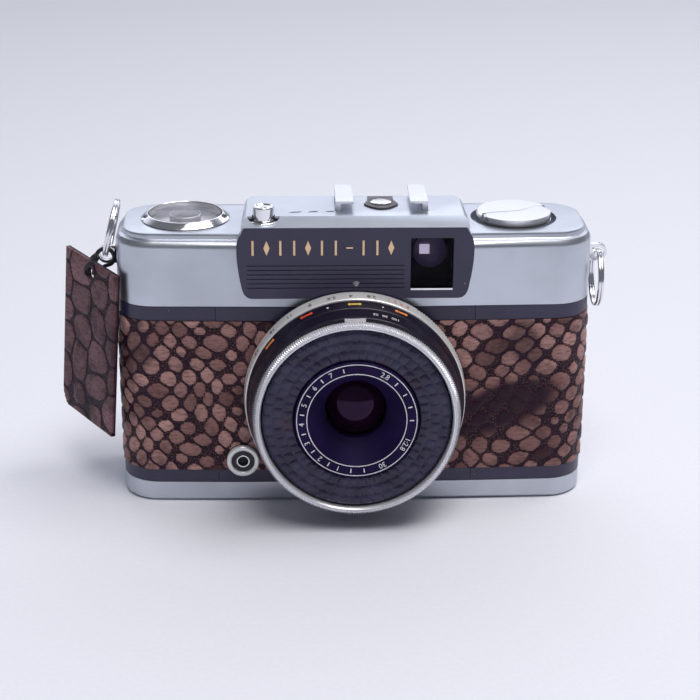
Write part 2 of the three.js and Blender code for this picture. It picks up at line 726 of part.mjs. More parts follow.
function lensMount() {
  return ringAlongY([
    [14.5, -12.8], [15.2, -12.8], [15.2, -14.1], [23.6, -14.1], [23.6, -15.75], [MOUNT_RADIUS, -15.75],
    [MOUNT_RADIUS, -27.8], [14.5, -27.8], [14.5, -12.8],
  ]);
}

function apertureRing() {
  return ringAlongY([
    [RING_BORE, -16.1], [25.8, -16.1], [25.9, -16.3], [25.85, -17.4], [25.5, -20.2],
    [RING_BORE, -20.2], [RING_BORE, -16.1],
  ]);
}

function focusRing() {
  return ringAlongY([
    [RING_BORE, -20.5], [25.2, -20.5], [25.3, -20.8], [24.6, -23.5], [RING_BORE, -23.7], [RING_BORE, -20.5],
  ]);
}

// The fixed film speed collar, with a window cut in its front edge.
function speedCollar() {
  const collar = ringAlongY([
    [MOUNT_RADIUS + GAP, -24], [24.5, -24], [24.45, -24.4], [24.05, -28], [23.9, -28.3],
    [22.9, -28.3], [22.9, -27], [MOUNT_RADIUS + GAP, -27], [MOUNT_RADIUS + GAP, -24],
  ]);
  return collar.subtract(block(-2.9, 2.1, -29, -27.3, LENS_HEIGHT + 22, LENS_HEIGHT + 26));
}

// The knurled rim that sets the film speed, round the meter's window.
function bezel() {
  return ringAlongY([
    [21.9, -27.3], [22.6, -27.3], [22.6, -28.6], [23.6, -28.6], [23.74, -29.9], [23.56, -30.9],
    [22.9, -31.15], [22.5, -31.15], [21.9, -30.7], [21.9, -27.3],
  ]);
}

function selenium() {
  const inner = CELL_BORE + 0.3;
  return ringAlongY([[inner, -28.9], [inner, -28], [21.5, -28], [21.5, -28.9], [inner, -28.9]]);
}

function cellWindow() {
  const inner = CELL_BORE + 0.15;
  return ringAlongY([
    [inner, -30.3], [inner, -29.1], [21.6, -29.1], [21.6, -30.1], [18, -30.45], [inner, -30.3],
  ]);
}

// The black ring round the front glass, sloping inwards to it.
function nameRing() {
  return ringAlongY([
    [7.1, -22.6], [CELL_BORE, -22.6], [CELL_BORE, -30.6], [CELL_BORE - 0.15, -30.78], [11, -30.78],
    [10.8, -30.4], [9.3, -27.5], [7.1, -24.1], [7.1, -22.6],
  ], FINE);
}

const frontLens = () => roundLens(7, -23.6, -22.7, 1.1, 0, LENS_HEIGHT, 32);
const rearLens = () => roundLens(5, -13.6, -11.4, 0.6, 0, LENS_HEIGHT, 28);

// The shutter's case, with its closed blades as the floor of its bore.
function shutterCase() {
  return ringAlongY([
    [0, -17.4], [5, -17.4], [5.6, -21.6], [14.2, -21.6], [14.2, -14.4], [6, -14.4],
    [6, -15.6], [0, -15.6],
  ], 32);
}

// ------------------------------------------------------------- lugs and straps

function strapLug(side) {
  const outline = new THREE.Shape();
  outline.moveTo(END + 0.07, LUG.z - LUG.half);
  outline.lineTo(LUG.reach, LUG.z - LUG.half);
  outline.absarc(LUG.reach, LUG.z, LUG.half, -Math.PI / 2, Math.PI / 2);
  outline.lineTo(END + 0.07, LUG.z + LUG.half);
  const hole = new THREE.Path().absarc(LUG.reach, LUG.z, LUG.hole, 0, Math.PI * 2);
  outline.holes.push(hole);
  const lug = sheetXZ(outline, -LUG.thick / 2, LUG.thick / 2, 12);
  return side < 0 ? lug.mirror([1, 0, 0]) : lug;
}

// A ring through a lug's eye. Leaning turns it about the eye, from hanging down.
function splitRing(side, lean) {
  const { mean, wide, tall } = SPLIT;
  const points = [
    [mean - tall / 2, -wide / 2], [mean + tall / 2, -wide / 2],
    [mean + tall / 2, wide / 2], [mean - tall / 2, wide / 2], [mean - tall / 2, -wide / 2],
  ].map(([u, v]) => new THREE.Vector2(u, v));
  const geometry = new THREE.LatheGeometry(points, 40);
  geometry.rotateZ(Math.PI / 2).translate(0, 0, -mean);
  geometry.rotateY(THREE.MathUtils.degToRad(lean)).translate(side * LUG.reach, 0, LUG.z);
  return solid(geometry);
}

function leatherTag() {
  const half = TAG.wide / 2;
  const outline = roundedRectangle(-half, half, TAG.foot, TAG.head, 0.8);
  const tag = sheetXZ(outline, -TAG.thick / 2, TAG.thick / 2, 3)
    .subtract(bore(1.7, -5, 5, 20, 0, TAG.head - 3));
  const eye = TAG.head - 3;
  return tag.rotate([0, 0, -TAG.turn]).translate([0, 0, -eye])
    .rotate([0, TAG.lean, 0]).translate([TAG.x, TAG.y, eye]);
}

// The cord runs up from the tag's eye, round the ring's wire and down again.
function tagCord() {
  const route = [
    [-61.6, -0.3, 53.5], [-60.3, 0.4, 53.4], [-59.6, -0.6, 54.4], [-58.9, -1.9, 55.4],
    [-58.1, -2.6, 56.1], [-56.7, -2.6, 56.7], [-56.1, -2.6, 58.2], [-56.7, -2.6, 59.7], [-58.1, -2.6, 60.3],
    [-59.6, -2.6, 59.7], [-60.4, -2.6, 58.4], [-61.6, -2.5, 56.9], [-63, -1.9, 55.2], [-63.1, -1.4, 53.8],
    [-62.3, -0.8, 53.4],
  ];
  const curve = new THREE.CatmullRomCurve3(route.map((point) => new THREE.Vector3(...point)));
  const section = new THREE.Shape().absarc(0, 0, 0.5, 0, Math.PI * 2);
  const settings = { steps: 36, bevelEnabled: false, curveSegments: 4, extrudePath: curve };
  return solid(new THREE.ExtrudeGeometry(section, settings));
}

// ------------------------------------------------------------------- assembly

const camera = new THREE.Group();
camera.name = 'half_frame_camera';

function add(name, shape, look) {
  const mesh = new THREE.Mesh(geometryOf(shape), look);
  mesh.name = name;
  camera.add(mesh);
}

add('body_casting', bodyCasting(), blackPaint());
add('front_plate', frontPlate(), blackPaint());
add('bottom_plate', bottomPlate(), satin());
add('tripod_bush', tripodBush(), steel());
add('top_cover', topCover(), satin());
add('leather_left', frontLeather(-1), snakeskin());
add('leather_right', frontLeather(1), snakeskin());

add('front_panel', frontPanel(), blackPaint());
add('index_pin', indexPin(), chrome());
add('finder_tube', finderTube(), matteBlack());
add('finder_window', finderWindow(), glass());
add('finder_lens', roundLens(EYE_LENS.radius, -9.5, -8.6, 0.6, EYE_LENS.x, EYE_LENS.z), glass());
add('eyepiece_frame', eyepieceFrame(), blackPaint());
add('eyepiece_lens', eyepieceLens(), glass());

add('hot_shoe', hotShoe(), chrome());
add('shoe_insulator', shoeInsulator(), darkPlastic());
add('shoe_contact', shoeContact(), chrome());
add('shutter_button', shutterButton(), chrome());
add('button_collar', buttonCollar(), chrome());
add('counter_ring', counterRing(), chrome());
add('counter_window', counterWindow(), clearPlastic());
add('counter_dial', counterDial(), satin());

add('rewind_knob', rewindKnob(), satin());
add('rewind_crank', rewindCrank(), satin());
add('crank_pin', crankPin(), steel());
add('rewind_shaft', rewindShaft(), steel());
add('rewind_bush', rewindBush(), steel());
add('advance_wheel', advanceWheel(), satin());
add('take_up_spool', takeUpSpool(), darkPlastic());
add('film_sprocket', filmSprocket(), matteBlack());
add('rewind_release', rewindRelease(), chrome());

add('back_door', backDoor(), blackPaint());
add('leather_back', backLeather(), snakeskin());
add('hinge_pin', hingePin(), steel());
add('pressure_plate', pressurePlate(), matteBlack());
add('pressure_spring', pressureSpring(), steel());
add('light_seal', lightSeal(), matteBlack());
add('door_latch', doorLatch(), satin());

add('flash_socket_ring', socketRing(), satin());
add('flash_socket_insulator', socketInsulator(), darkPlastic());
add('flash_socket_sleeve', socketSleeve(), chrome());

add('lens_mount', lensMount(), matteBlack());
add('aperture_ring', apertureRing(), satin());
add('focus_ring', focusRing(), matteBlack());
add('speed_collar', speedCollar(), matteBlack());
add('speed_bezel', bezel(), chrome());
add('selenium_cell', selenium(), matteBlack());
add('cell_window', cellWindow(), glass());
add('name_ring', nameRing(), matteBlack());
add('front_lens', frontLens(), glass());
add('rear_lens', rearLens(), glass());
add('shutter_case', shutterCase(), matteBlack());

add('strap_lug_left', strapLug(-1), satin());
add('strap_lug_right', strapLug(1), satin());
add('split_ring_left', splitRing(-1, 180 + SPLIT.lean), chrome());
add('split_ring_right', splitRing(1, 0), chrome());
add('leather_tag', leatherTag(), snakeskin());
add('tag_cord', tagCord(), darkPlastic());

export default camera;
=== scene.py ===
import json
import math

import bmesh
import bpy
import numpy as np
from mathutils import Matrix, Vector

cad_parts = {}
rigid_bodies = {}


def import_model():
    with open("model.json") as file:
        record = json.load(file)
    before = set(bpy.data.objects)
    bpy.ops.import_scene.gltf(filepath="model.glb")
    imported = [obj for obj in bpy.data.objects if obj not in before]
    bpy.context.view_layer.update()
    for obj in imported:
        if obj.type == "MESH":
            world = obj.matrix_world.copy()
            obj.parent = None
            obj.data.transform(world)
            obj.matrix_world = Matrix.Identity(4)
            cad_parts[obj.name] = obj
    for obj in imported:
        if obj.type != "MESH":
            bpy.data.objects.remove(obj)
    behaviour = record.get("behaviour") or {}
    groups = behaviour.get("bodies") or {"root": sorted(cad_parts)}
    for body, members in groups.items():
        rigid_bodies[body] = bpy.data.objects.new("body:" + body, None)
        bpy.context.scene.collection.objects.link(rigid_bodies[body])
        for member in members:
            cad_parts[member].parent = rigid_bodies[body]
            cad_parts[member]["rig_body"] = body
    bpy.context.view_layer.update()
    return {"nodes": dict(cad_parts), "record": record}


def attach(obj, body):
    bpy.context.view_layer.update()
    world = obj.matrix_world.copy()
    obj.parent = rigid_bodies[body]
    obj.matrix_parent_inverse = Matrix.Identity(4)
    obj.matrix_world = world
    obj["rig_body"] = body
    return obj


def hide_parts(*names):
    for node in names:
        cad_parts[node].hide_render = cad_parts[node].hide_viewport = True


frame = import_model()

MM = 0.001
LENS_Z = 28.2  # height of the lens axis, in mm as all sizes below
LUG = (58.1, 58.2)  # the eyes of the strap lugs, out from the middle and up
SOCKET = (-26.4, 11.1)  # the middle of the flash socket, across and up
PANEL_Y = -15.5  # the face of the panel on the hump
TOP_Z = 70.9  # the flat top of the hump
FACE_Y = -30.78  # the flat face of the name ring, and the radius that its figures lie on
FACE_RADIUS = 12.5


# ------------------------------------------------------------------ materials

class Look:
    """A procedural material being put together, one node after another."""

    def __init__(self, name, color, roughness, metallic=0.0):
        self.material = bpy.data.materials.new(name)
        self.material.use_nodes = True
        self.tree = self.material.node_tree
        self.shader = self.tree.nodes["Principled BSDF"]
        self.set("Base Color", (*color, 1))
        self.set("Roughness", roughness)
        self.set("Metallic", metallic)
        self.normal = None

    def set(self, socket, value):
        self.shader.inputs[socket].default_value = value
        return self

    def node(self, kind, **inputs):
        made = self.tree.nodes.new("ShaderNode" + kind)
        for name, value in inputs.items():
            socket = made.inputs[name.replace("_", " ")]
            if isinstance(value, bpy.types.NodeSocket):
                self.tree.links.new(value, socket)
            else:
                socket.default_value = value
        return made

    def noise(self, scale, detail=4, roughness=0.55, stretch=(1, 1, 1)):
        """Noise in the object's own coordinates: scale is in lumps per metre."""
        where = self.node("TexCoord").outputs["Object"]
        spread = self.node("Mapping", Vector=where, Scale=stretch).outputs["Vector"]
        made = self.node("TexNoise", Vector=spread, Scale=scale, Detail=detail, Roughness=roughness)
        return made.outputs["Fac"]

    def cell_edges(self, scale):
        """How far each point is from the edge of its cell; scale is cells per metre."""
        where = self.node("TexCoord").outputs["Object"]
        made = self.node("TexVoronoi", Vector=where, Scale=scale)
        made.feature = "DISTANCE_TO_EDGE"
        return made.outputs["Distance"]

    def attribute(self, name):
        made = self.node("Attribute")
        made.attribute_name = name
        return made.outputs["Fac"]

    def span(self, value, low, high, new_low=0.0, new_high=1.0):
        """The value, with the range low..high carried to the new one."""
        made = self.node("MapRange")
        made.interpolation_type = "SMOOTHSTEP"
        for socket, number in zip(made.inputs[1:5], (low, high, new_low, new_high)):
            socket.default_value = number
        self.tree.links.new(value, made.inputs[0])
        return made.outputs[0]

    def mix(self, factor, first, second):
        made = self.node("Mix")
        made.data_type = "RGBA"
        colours = [socket for socket in made.inputs if socket.type == "RGBA"]
        for socket, value in zip([made.inputs[0], *colours], (factor, first, second)):
            if isinstance(value, bpy.types.NodeSocket):
                self.tree.links.new(value, socket)
            elif isinstance(value, float):
                socket.default_value = value
            else:
                socket.default_value = (*value, 1)
        return next(socket for socket in made.outputs if socket.type == "RGBA")

    def put(self, socket, value):
        self.tree.links.new(value, self.shader.inputs[socket])
        return self

    def bump(self, height, strength, depth):
        """Raises the surface by a height of 0..1 times depth, in millimetres."""
        made = self.node("Bump", Height=height, Strength=strength, Distance=depth * MM)
        if self.normal:
            self.tree.links.new(self.normal, made.inputs["Normal"])
        self.normal = made.outputs["Normal"]
        return self.put("Normal", self.normal)


def satin_look(name, color, roughness, grain=0.5, metallic=1.0):
    """Blasted and plated metal: a fine grain, and clouds where it was handled."""
    look = Look(name, color, roughness, metallic)
    clouds = look.noise(55, 3)
    worn = tuple(0.9 * channel for channel in color)
    look.put("Base Color", look.mix(look.span(clouds, 0.35, 0.7), color, worn))
    look.put("Roughness", look.span(clouds, 0.3, 0.7, roughness - 0.04, roughness + 0.05))
    return look.bump(look.noise(3200, 2), grain, 0.02).material


def chrome_look(name, color, roughness):
    look = Look(name, color, roughness, 1.0)
    smears = look.noise(260, 5, 0.6)
    look.put("Roughness", look.span(smears, 0.35, 0.75, roughness, roughness + 0.1))
    dull = tuple(0.86 * channel for channel in color)
    look.put("Base Color", look.mix(look.span(smears, 0.45, 0.8), color, dull))
    return look.bump(look.noise(900, 2), 0.12, 0.01).material


def paint_look(name, color, roughness, coat=0.2):
    """Baked enamel, with a fine orange peel, a few pale specks and thin places."""
    look = Look(name, color, roughness)
    look.set("Coat Weight", coat).set("Coat Roughness", 0.3)
    clouds = look.noise(70, 4)
    pale = tuple(min(1, 1.35 * channel + 0.004) for channel in color)
    base = look.mix(look.span(clouds, 0.4, 0.75), color, pale)
    specks = look.span(look.noise(1500, 1), 0.78, 0.84)
    look.put("Base Color", look.mix(specks, base, (0.35, 0.35, 0.4)))
    look.put("Roughness", look.span(clouds, 0.3, 0.7, roughness - 0.05, roughness + 0.07))
    return look.bump(look.noise(1800, 3), 0.25, 0.02).material


def anodised_look(name, color, roughness, metallic=0.3):
    look = Look(name, color, roughness, metallic)
    grain = look.noise(900, 4, 0.6, (1, 8, 1))
    pale = tuple(1.6 * channel + 0.004 for channel in color)
    look.put("Base Color", look.mix(look.span(grain, 0.4, 0.8), color, pale))
    look.put("Roughness", look.span(grain, 0.3, 0.7, roughness - 0.05, roughness + 0.08))
    return look.bump(look.noise(2600, 2), 0.3, 0.015).material


def plain_look(name, color, roughness, scale=500, depth=0.02, metallic=0.0):
    """Moulded plastic, foam and ink: two close tones and a light texture."""
    look = Look(name, color, roughness, metallic)
    grain = look.noise(scale, 4)
    dark = tuple(0.8 * channel for channel in color)
    look.put("Base Color", look.mix(look.span(grain, 0.35, 0.7), color, dark))
    look.put("Roughness", look.span(grain, 0.3, 0.7, roughness, min(1, roughness + 0.08)))
    return look.bump(grain, 0.3, depth).material


def glass_look(name, color, roughness, reflect=0.6, coat=0.0, tint=(1, 1, 1)):
    """Dark coated glass: what is behind it is black, so it only reflects."""
    look = Look(name, color, roughness)
    look.set("Coat Weight", coat).set("Coat Roughness", 0.02).set("Specular IOR Level", reflect)
    look.set("Specular Tint", (*tint, 1))
    haze = look.noise(120, 3)
    pale = tuple(1.5 * channel for channel in color)
    look.put("Base Color", look.mix(look.span(haze, 0.35, 0.7), color, pale))
    look.put("Roughness", look.span(haze, 0.3, 0.8, roughness, roughness + 0.05))
    return look.material


def cell_look(name, color, roughness):
    """Dark moulded lenslets, mottled paler with painted glints of light caught in them, with a little red
    in places.
    """
    look = Look(name, color, roughness)
    look.set("Specular IOR Level", 0.4)
    mottle = look.noise(240, 3, 0.5)
    # pale: painted glints where the lenslets catch light
    pale = (2.1 * color[0], 2.3 * color[1], 1.9 * color[2])
    base = look.mix(look.span(mottle, 0.35, 0.68), color, pale)
    red = look.span(look.noise(150, 2), 0.6, 0.75, 0.0, 0.5)
    look.put("Base Color", look.mix(red, base, (0.06, 0.014, 0.022)))
    look.put("Roughness", look.span(mottle, 0.3, 0.7, roughness - 0.06, roughness + 0.1))
    return look.bump(mottle, 0.1, 0.1).material


def clear_look(name, color, roughness):
    look = Look(name, color, roughness)
    look.set("Transmission Weight", 1.0).set("IOR", 1.12)
    scuffs = look.noise(700, 5, 0.7)
    look.put("Roughness", look.span(scuffs, 0.4, 0.8, roughness, roughness + 0.12))
    return look.bump(scuffs, 0.05, 0.01).material


def skin_look(name, dark, low, high, gloss, coat):
    """Snakeskin: pale streaky scales in a dark net of small beads, glazed unevenly."""
    look = Look(name, low, gloss)
    look.set("Coat Weight", coat).set("Coat Roughness", 0.22).set("Specular IOR Level", 0.12)
    tone = look.attribute("tone")
    ridge = look.attribute("ridge")
    streaks = look.noise(1100, 5, 0.65, (0.45, 0.45, 1.7))
    scale = look.mix(tone, low, high)
    scale = look.mix(look.span(streaks, 0.42, 0.70, 0.0, 0.6), scale, tuple(0.42 * c for c in low))
    scale = look.mix(look.span(tone, 0.0, 0.22), tuple(0.8 * c for c in dark), scale)
    blotch = look.noise(85, 4, 0.6)
    scale = look.mix(look.span(blotch, 0.47, 0.68, 0.0, 0.72), scale, tuple(0.25 * c for c in low))
    beads = look.span(look.cell_edges(1500), 0.04, 0.3)
    bead = tuple(0.45 * c + 0.5 * d for c, d in zip(low, dark))
    net = look.mix(beads, tuple(0.5 * c for c in dark), bead)
    net = look.mix(look.span(blotch, 0.46, 0.6, 0.0, 0.7), net, dark)
    look.put("Base Color", look.mix(look.span(ridge, 0.15, 0.75), net, scale))
    look.put("Roughness", look.span(streaks, 0.3, 0.7, gloss - 0.1, gloss + 0.12))
    look.bump(beads, 0.5, 0.14)
    return look.bump(streaks, 0.45, 0.08).material


LOOKS = {
    "satin": satin_look("satin_aluminium", (0.575, 0.60, 0.665), 0.35),
    "shoe": satin_look("satin_chrome", (0.80, 0.81, 0.87), 0.30, 0.3),
    "knob": satin_look("knob_aluminium", (0.85, 0.85, 0.87), 0.24, 0.25, 0.9),
    "ring": satin_look("ring_aluminium", (0.86, 0.85, 0.85), 0.34, 0.3, 0.4),
    "chrome": chrome_look("chrome", (0.82, 0.82, 0.85), 0.09),
    "bezel": satin_look("bezel_aluminium", (0.80, 0.79, 0.84), 0.25, 0.2, 0.55),
    "steel": chrome_look("steel", (0.5, 0.5, 0.53), 0.28),
    "dial": satin_look("dial_metal", (0.68, 0.66, 0.68), 0.42),
    "hub": plain_look("hub_grey", (0.12, 0.11, 0.14), 0.5),
    "paint": paint_look("charcoal_enamel", (0.023, 0.018, 0.053), 0.42),
    "panel": paint_look("panel_enamel", (0.021, 0.016, 0.053), 0.36, 0.3),
    "black": anodised_look("black_anodised", (0.009, 0.006, 0.018), 0.32, 0.15),
    "matt": plain_look("matt_black", (0.012, 0.011, 0.017), 0.6),
    "plastic": plain_look("black_plastic", (0.018, 0.016, 0.024), 0.38),
    "grey": plain_look("grey_insulator", (0.11, 0.10, 0.115), 0.5),
    "foam": plain_look("foam", (0.012, 0.012, 0.012), 0.95, 2500, 0.2),
    "white": plain_look("white_enamel", (0.85, 0.85, 0.86), 0.45),
    "gold": chrome_look("gold_fill", (0.80, 0.56, 0.34), 0.3),
    "ink": plain_look("black_ink", (0.012, 0.012, 0.02), 0.5),
    "red": plain_look("red_enamel", (0.80, 0.075, 0.03), 0.45),
    "orange": plain_look("orange_enamel", (0.85, 0.27, 0.05), 0.45),
    "yellow": plain_look("yellow_enamel", (0.78, 0.50, 0.09), 0.45),
    "cord": plain_look("waxed_cord", (0.012, 0.010, 0.014), 0.32, 1600, 0.12),
    "finder_glass": clear_look("finder_glass", (0.42, 0.38, 0.50), 0.03),
    "counter_glass": clear_look("counter_glass", (0.97, 0.97, 0.99), 0.02),
    "pane": plain_look("finder_glow_pane", (0.9, 0.9, 0.92), 0.4),
    "front_glass": glass_look("front_glass", (0.012, 0.003, 0.012), 0.03, 0.32, tint=(0.75, 0.5, 1.0)),
    "cone": glass_look("violet_black", (0.013, 0.007, 0.042), 0.5, 0.07),
    "finder_back": plain_look("finder_lens_grey", (0.30, 0.27, 0.38), 0.3),
    "dark_glass": glass_look("dark_glass", (0.010, 0.007, 0.016), 0.04),
    "cell": cell_look("cell_window", (0.019, 0.015, 0.041), 0.3),
    "skin": skin_look("snakeskin", (0.026, 0.006, 0.022), (0.175, 0.078, 0.074),
                      (0.56, 0.315, 0.285), 0.42, 0.12),
    "tag_skin": skin_look("tag_snakeskin", (0.022, 0.005, 0.018), (0.118, 0.055, 0.066),
                          (0.26, 0.130, 0.145), 0.48, 0.03),
}
# The finder pane glows from within: painted light standing in for the light seen through the finder.
pane_glow_inputs = LOOKS["pane"].node_tree.nodes["Principled BSDF"].inputs
pane_glow_inputs["Emission Color"].default_value = (1, 1, 1, 1)
pane_glow_inputs["Emission Strength"].default_value = 0.9


# --------------------------------------------------------------- making pieces

def piece_of(mesh, name, look, body, replaced=(), slot=None, sharp=38):
    """Finishes a mesh: outward faces, smooth where it bends less than sharp, its body."""
    work = bmesh.new()
    work.from_mesh(mesh)
    bmesh.ops.remove_doubles(work, verts=work.verts, dist=1e-7)
    bmesh.ops.recalc_face_normals(work, faces=work.faces)
    work.to_mesh(mesh)
    work.free()
    mesh.materials.clear()
    mesh.materials.append(LOOKS[look])
    mesh.shade_smooth()
    mesh.set_sharp_from_angle(angle=math.radians(sharp))
    piece = bpy.data.objects.new(name, mesh)
    bpy.context.scene.collection.objects.link(piece)
    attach(piece, body)
    if replaced:
        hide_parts(*replaced)
    return piece


def mesh_of(name, points, faces):
    """A mesh from points in millimetres."""
    mesh = bpy.data.meshes.new(name)
    mesh.from_pydata((np.asarray(points, float) * MM).tolist(), [], faces)
    return mesh


def body_of(node):
    return frame["nodes"][node]["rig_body"]


SLOTS = {part["node"]: part["material_slot"] for part in frame["record"]["subparts"]}


def softened(profile, radius, steps=3):
    """A profile with its corners rounded; points on the axis stay where they are."""
    count = len(profile)
    rounded = []
    for i, (x, y) in enumerate(profile):
        here = np.array((x, y), float)
        before = np.array(profile[i - 1], float) - here
        after = np.array(profile[(i + 1) % count], float) - here
        reach = min(radius, 0.42 * np.hypot(*before), 0.42 * np.hypot(*after))
        if x <= 0 or reach < 1e-4:
            rounded.append((x, y))
            continue
        start = here + before / np.hypot(*before) * reach
        end = here + after / np.hypot(*after) * reach
        for step in range(steps + 1):
            t = step / steps
            point = (1 - t) ** 2 * start + 2 * t * (1 - t) * here + t ** 2 * end
            rounded.append((max(point[0], 0.0), point[1]))
    return rounded


def turned(name, profile, look, node=None, body=None, axis="y", centre=(0, LENS_Z),
           segments=180, soften=0.15, shift=None, sharp=38):
    """A closed profile of (radius, height) turned about an axis along Y or Z.

    shift(radius, height, angle) gives what to add to the radius, for knurls.
    """
    profile = softened(profile, soften) if soften else list(profile)
    radius = np.array([point[0] for point in profile])[:, None]
    along = np.array([point[1] for point in profile])[:, None]
    angle = np.linspace(0, 2 * math.pi, segments, endpoint=False)[None, :]
    grown = radius + (shift(radius, along, angle) if shift else 0) + 0 * angle
    first = centre[0] + grown * np.cos(angle)
    second = centre[1] + grown * np.sin(angle)
    level = along + 0 * angle
    stack = (first, level, second) if axis == "y" else (first, second, level)
    points = np.stack(stack, -1).reshape(-1, 3)
    count = len(profile)
    faces = []
    for row in range(count):
        below, above = row * segments, (row + 1) % count * segments
        for col in range(segments):
            nxt = (col + 1) % segments
            faces.append((below + col, below + nxt, above + nxt, above + col))
    if profile[0][0] <= 0 and profile[-1][0] <= 0:
        faces = faces[:-segments]
    body = body or body_of(node)
    replaced = (node,) if node else ()
    slot = SLOTS.get(node)
    return piece_of(mesh_of(name, points, faces), name, look, body, replaced, slot, sharp)


SHARP_ABOVE = 33  # an edge that bends more than this, in degrees, is shaded sharp
EASE_ABOVE = 28  # and one that bends more than this is eased


def fine_copy(node, look, bevel):
    """A copy of a CAD solid with its edges eased, to stand in its place."""
    source = frame["nodes"][node].data
    mesh = bpy.data.meshes.new(node + "_fine")
    points = [tuple(vertex.co) for vertex in source.vertices]
    mesh.from_pydata(points, [], [tuple(face.vertices) for face in source.polygons])
    work = bmesh.new()
    work.from_mesh(mesh)
    bmesh.ops.remove_doubles(work, verts=work.verts, dist=2e-6)
    bmesh.ops.dissolve_limit(work, angle_limit=math.radians(1.2), verts=work.verts,
                             edges=work.edges)
    edges = [edge for edge in work.edges
             if len(edge.link_faces) == 2
             and edge.calc_face_angle(0) > math.radians(EASE_ABOVE)
             and edge.calc_length() > 0.25 * MM]
    bmesh.ops.bevel(work, geom=edges, offset=bevel * MM, segments=2, profile=0.5,
                    affect="EDGES", clamp_overlap=True)
    bmesh.ops.triangulate(work, faces=[f for f in work.faces if len(f.verts) > 4])
    work.to_mesh(mesh)
    work.free()
    piece = piece_of(mesh, node + "_fine", look, body_of(node), (node,), SLOTS[node],
                     SHARP_ABOVE)
    flat = piece.modifiers.new("flat_faces", "WEIGHTED_NORMAL")
    flat.keep_sharp = True
    flat.weight = 90
    return piece


def swept(route, radius, sides=10, closed=False):
    """Points and faces of a tube along a route, carried without twist."""
    route = np.asarray(route, float)
    count = len(route)
    points = []
    normal = None
    for i in range(count):
        ahead = route[(i + 1) % count] if closed or i < count - 1 else route[i]
        behind = route[i - 1] if closed or i > 0 else route[i]
        tangent = Vector(ahead - behind).normalized()
        normal = normal or tangent.orthogonal().normalized()
        normal = (normal - tangent * normal.dot(tangent)).normalized()
        side = tangent.cross(normal)
        for k in range(sides):
            turn = 2 * math.pi * k / sides
            off = normal * math.cos(turn) * radius + side * math.sin(turn) * radius
            points.append(Vector(route[i]) + off)
    faces = []
    for i in range(count if closed else count - 1):
        low, high = i * sides, (i + 1) % count * sides
        for k in range(sides):
            nxt = (k + 1) % sides
            faces.append((low + k, low + nxt, high + nxt, high + k))
    if not closed:
        faces.append(tuple(range(sides)))
        faces.append(tuple(reversed(range((count - 1) * sides, count * sides))))
    return points, faces


def gathered(parts):
    """Several lists of points and faces as one."""
    points, faces = [], []
    for some_points, some_faces in parts:
        base = len(points)
        points += [tuple(point) for point in some_points]
        faces += [tuple(base + i for i in face) for face in some_faces]
    return points, faces


def slab(outline, low, high, place):
    """A flat outline given thickness and carried to its place point by point."""
    count = len(outline)
    points = [place(u, v, low) for u, v in outline] + [place(u, v, high) for u, v in outline]
    faces = [tuple(range(count)), tuple(reversed(range(count, 2 * count)))]
    for i in range(count):
        nxt = (i + 1) % count
        faces.append((i, nxt, count + nxt, count + i))
    return points, faces


def figures(text, size, place, depth=0.06):
    """Points and faces of a few figures, carried to a place by place(u, v, out)."""
    curve = bpy.data.curves.new("figures", "FONT")
    curve.body = text
    curve.size = size
    curve.extrude = depth / 2
    curve.resolution_u = 3
    curve.align_x = "CENTER"
    curve.align_y = "CENTER"
    helper = bpy.data.objects.new("figures", curve)
    bpy.context.scene.collection.objects.link(helper)
    bpy.context.view_layer.update()
    made = bpy.data.meshes.new_from_object(helper.evaluated_get(bpy.context.evaluated_depsgraph_get()))
    points = [place(v.co.x, v.co.y, v.co.z + depth / 2) for v in made.vertices]
    faces = [tuple(face.vertices) for face in made.polygons]
    bpy.data.objects.remove(helper)
    bpy.data.meshes.remove(made)
    bpy.data.curves.remove(curve)
    return points, faces


def marks(name, parts, look, body):
    points, faces = gathered(parts)
    return piece_of(mesh_of(name, points, faces), name, look, body)


def on_ring(turn, radius, y, slope=0.0):
    """A place on a ring round the lens: turn is in degrees clockwise from the top.

    Figures stand upside down from the front, to be read from behind the camera.
    slope is how much the radius falls as the ring goes forward, per millimetre.
    """
    def place(u, v, out):
        angle = math.radians(turn) - u / radius
        along = y - v
        reach = radius + out + slope * (along - y)
        return (reach * math.sin(angle), along, LENS_Z + reach * math.cos(angle))
    return place


def on_face(turn, radius, y):
    """A place on a flat face round the lens, the figures' feet towards the axis."""
    def place(u, v, out):
        angle = math.radians(turn) + u / radius
        reach = radius + v
        return (reach * math.sin(angle), y - out, LENS_Z + reach * math.cos(angle))
    return place


# ------------------------------------------------------------------ snakeskin

def smooth_step(value, low, high):
    t = np.clip((value - low) / (high - low), 0, 1)
    return t * t * (3 - 2 * t)


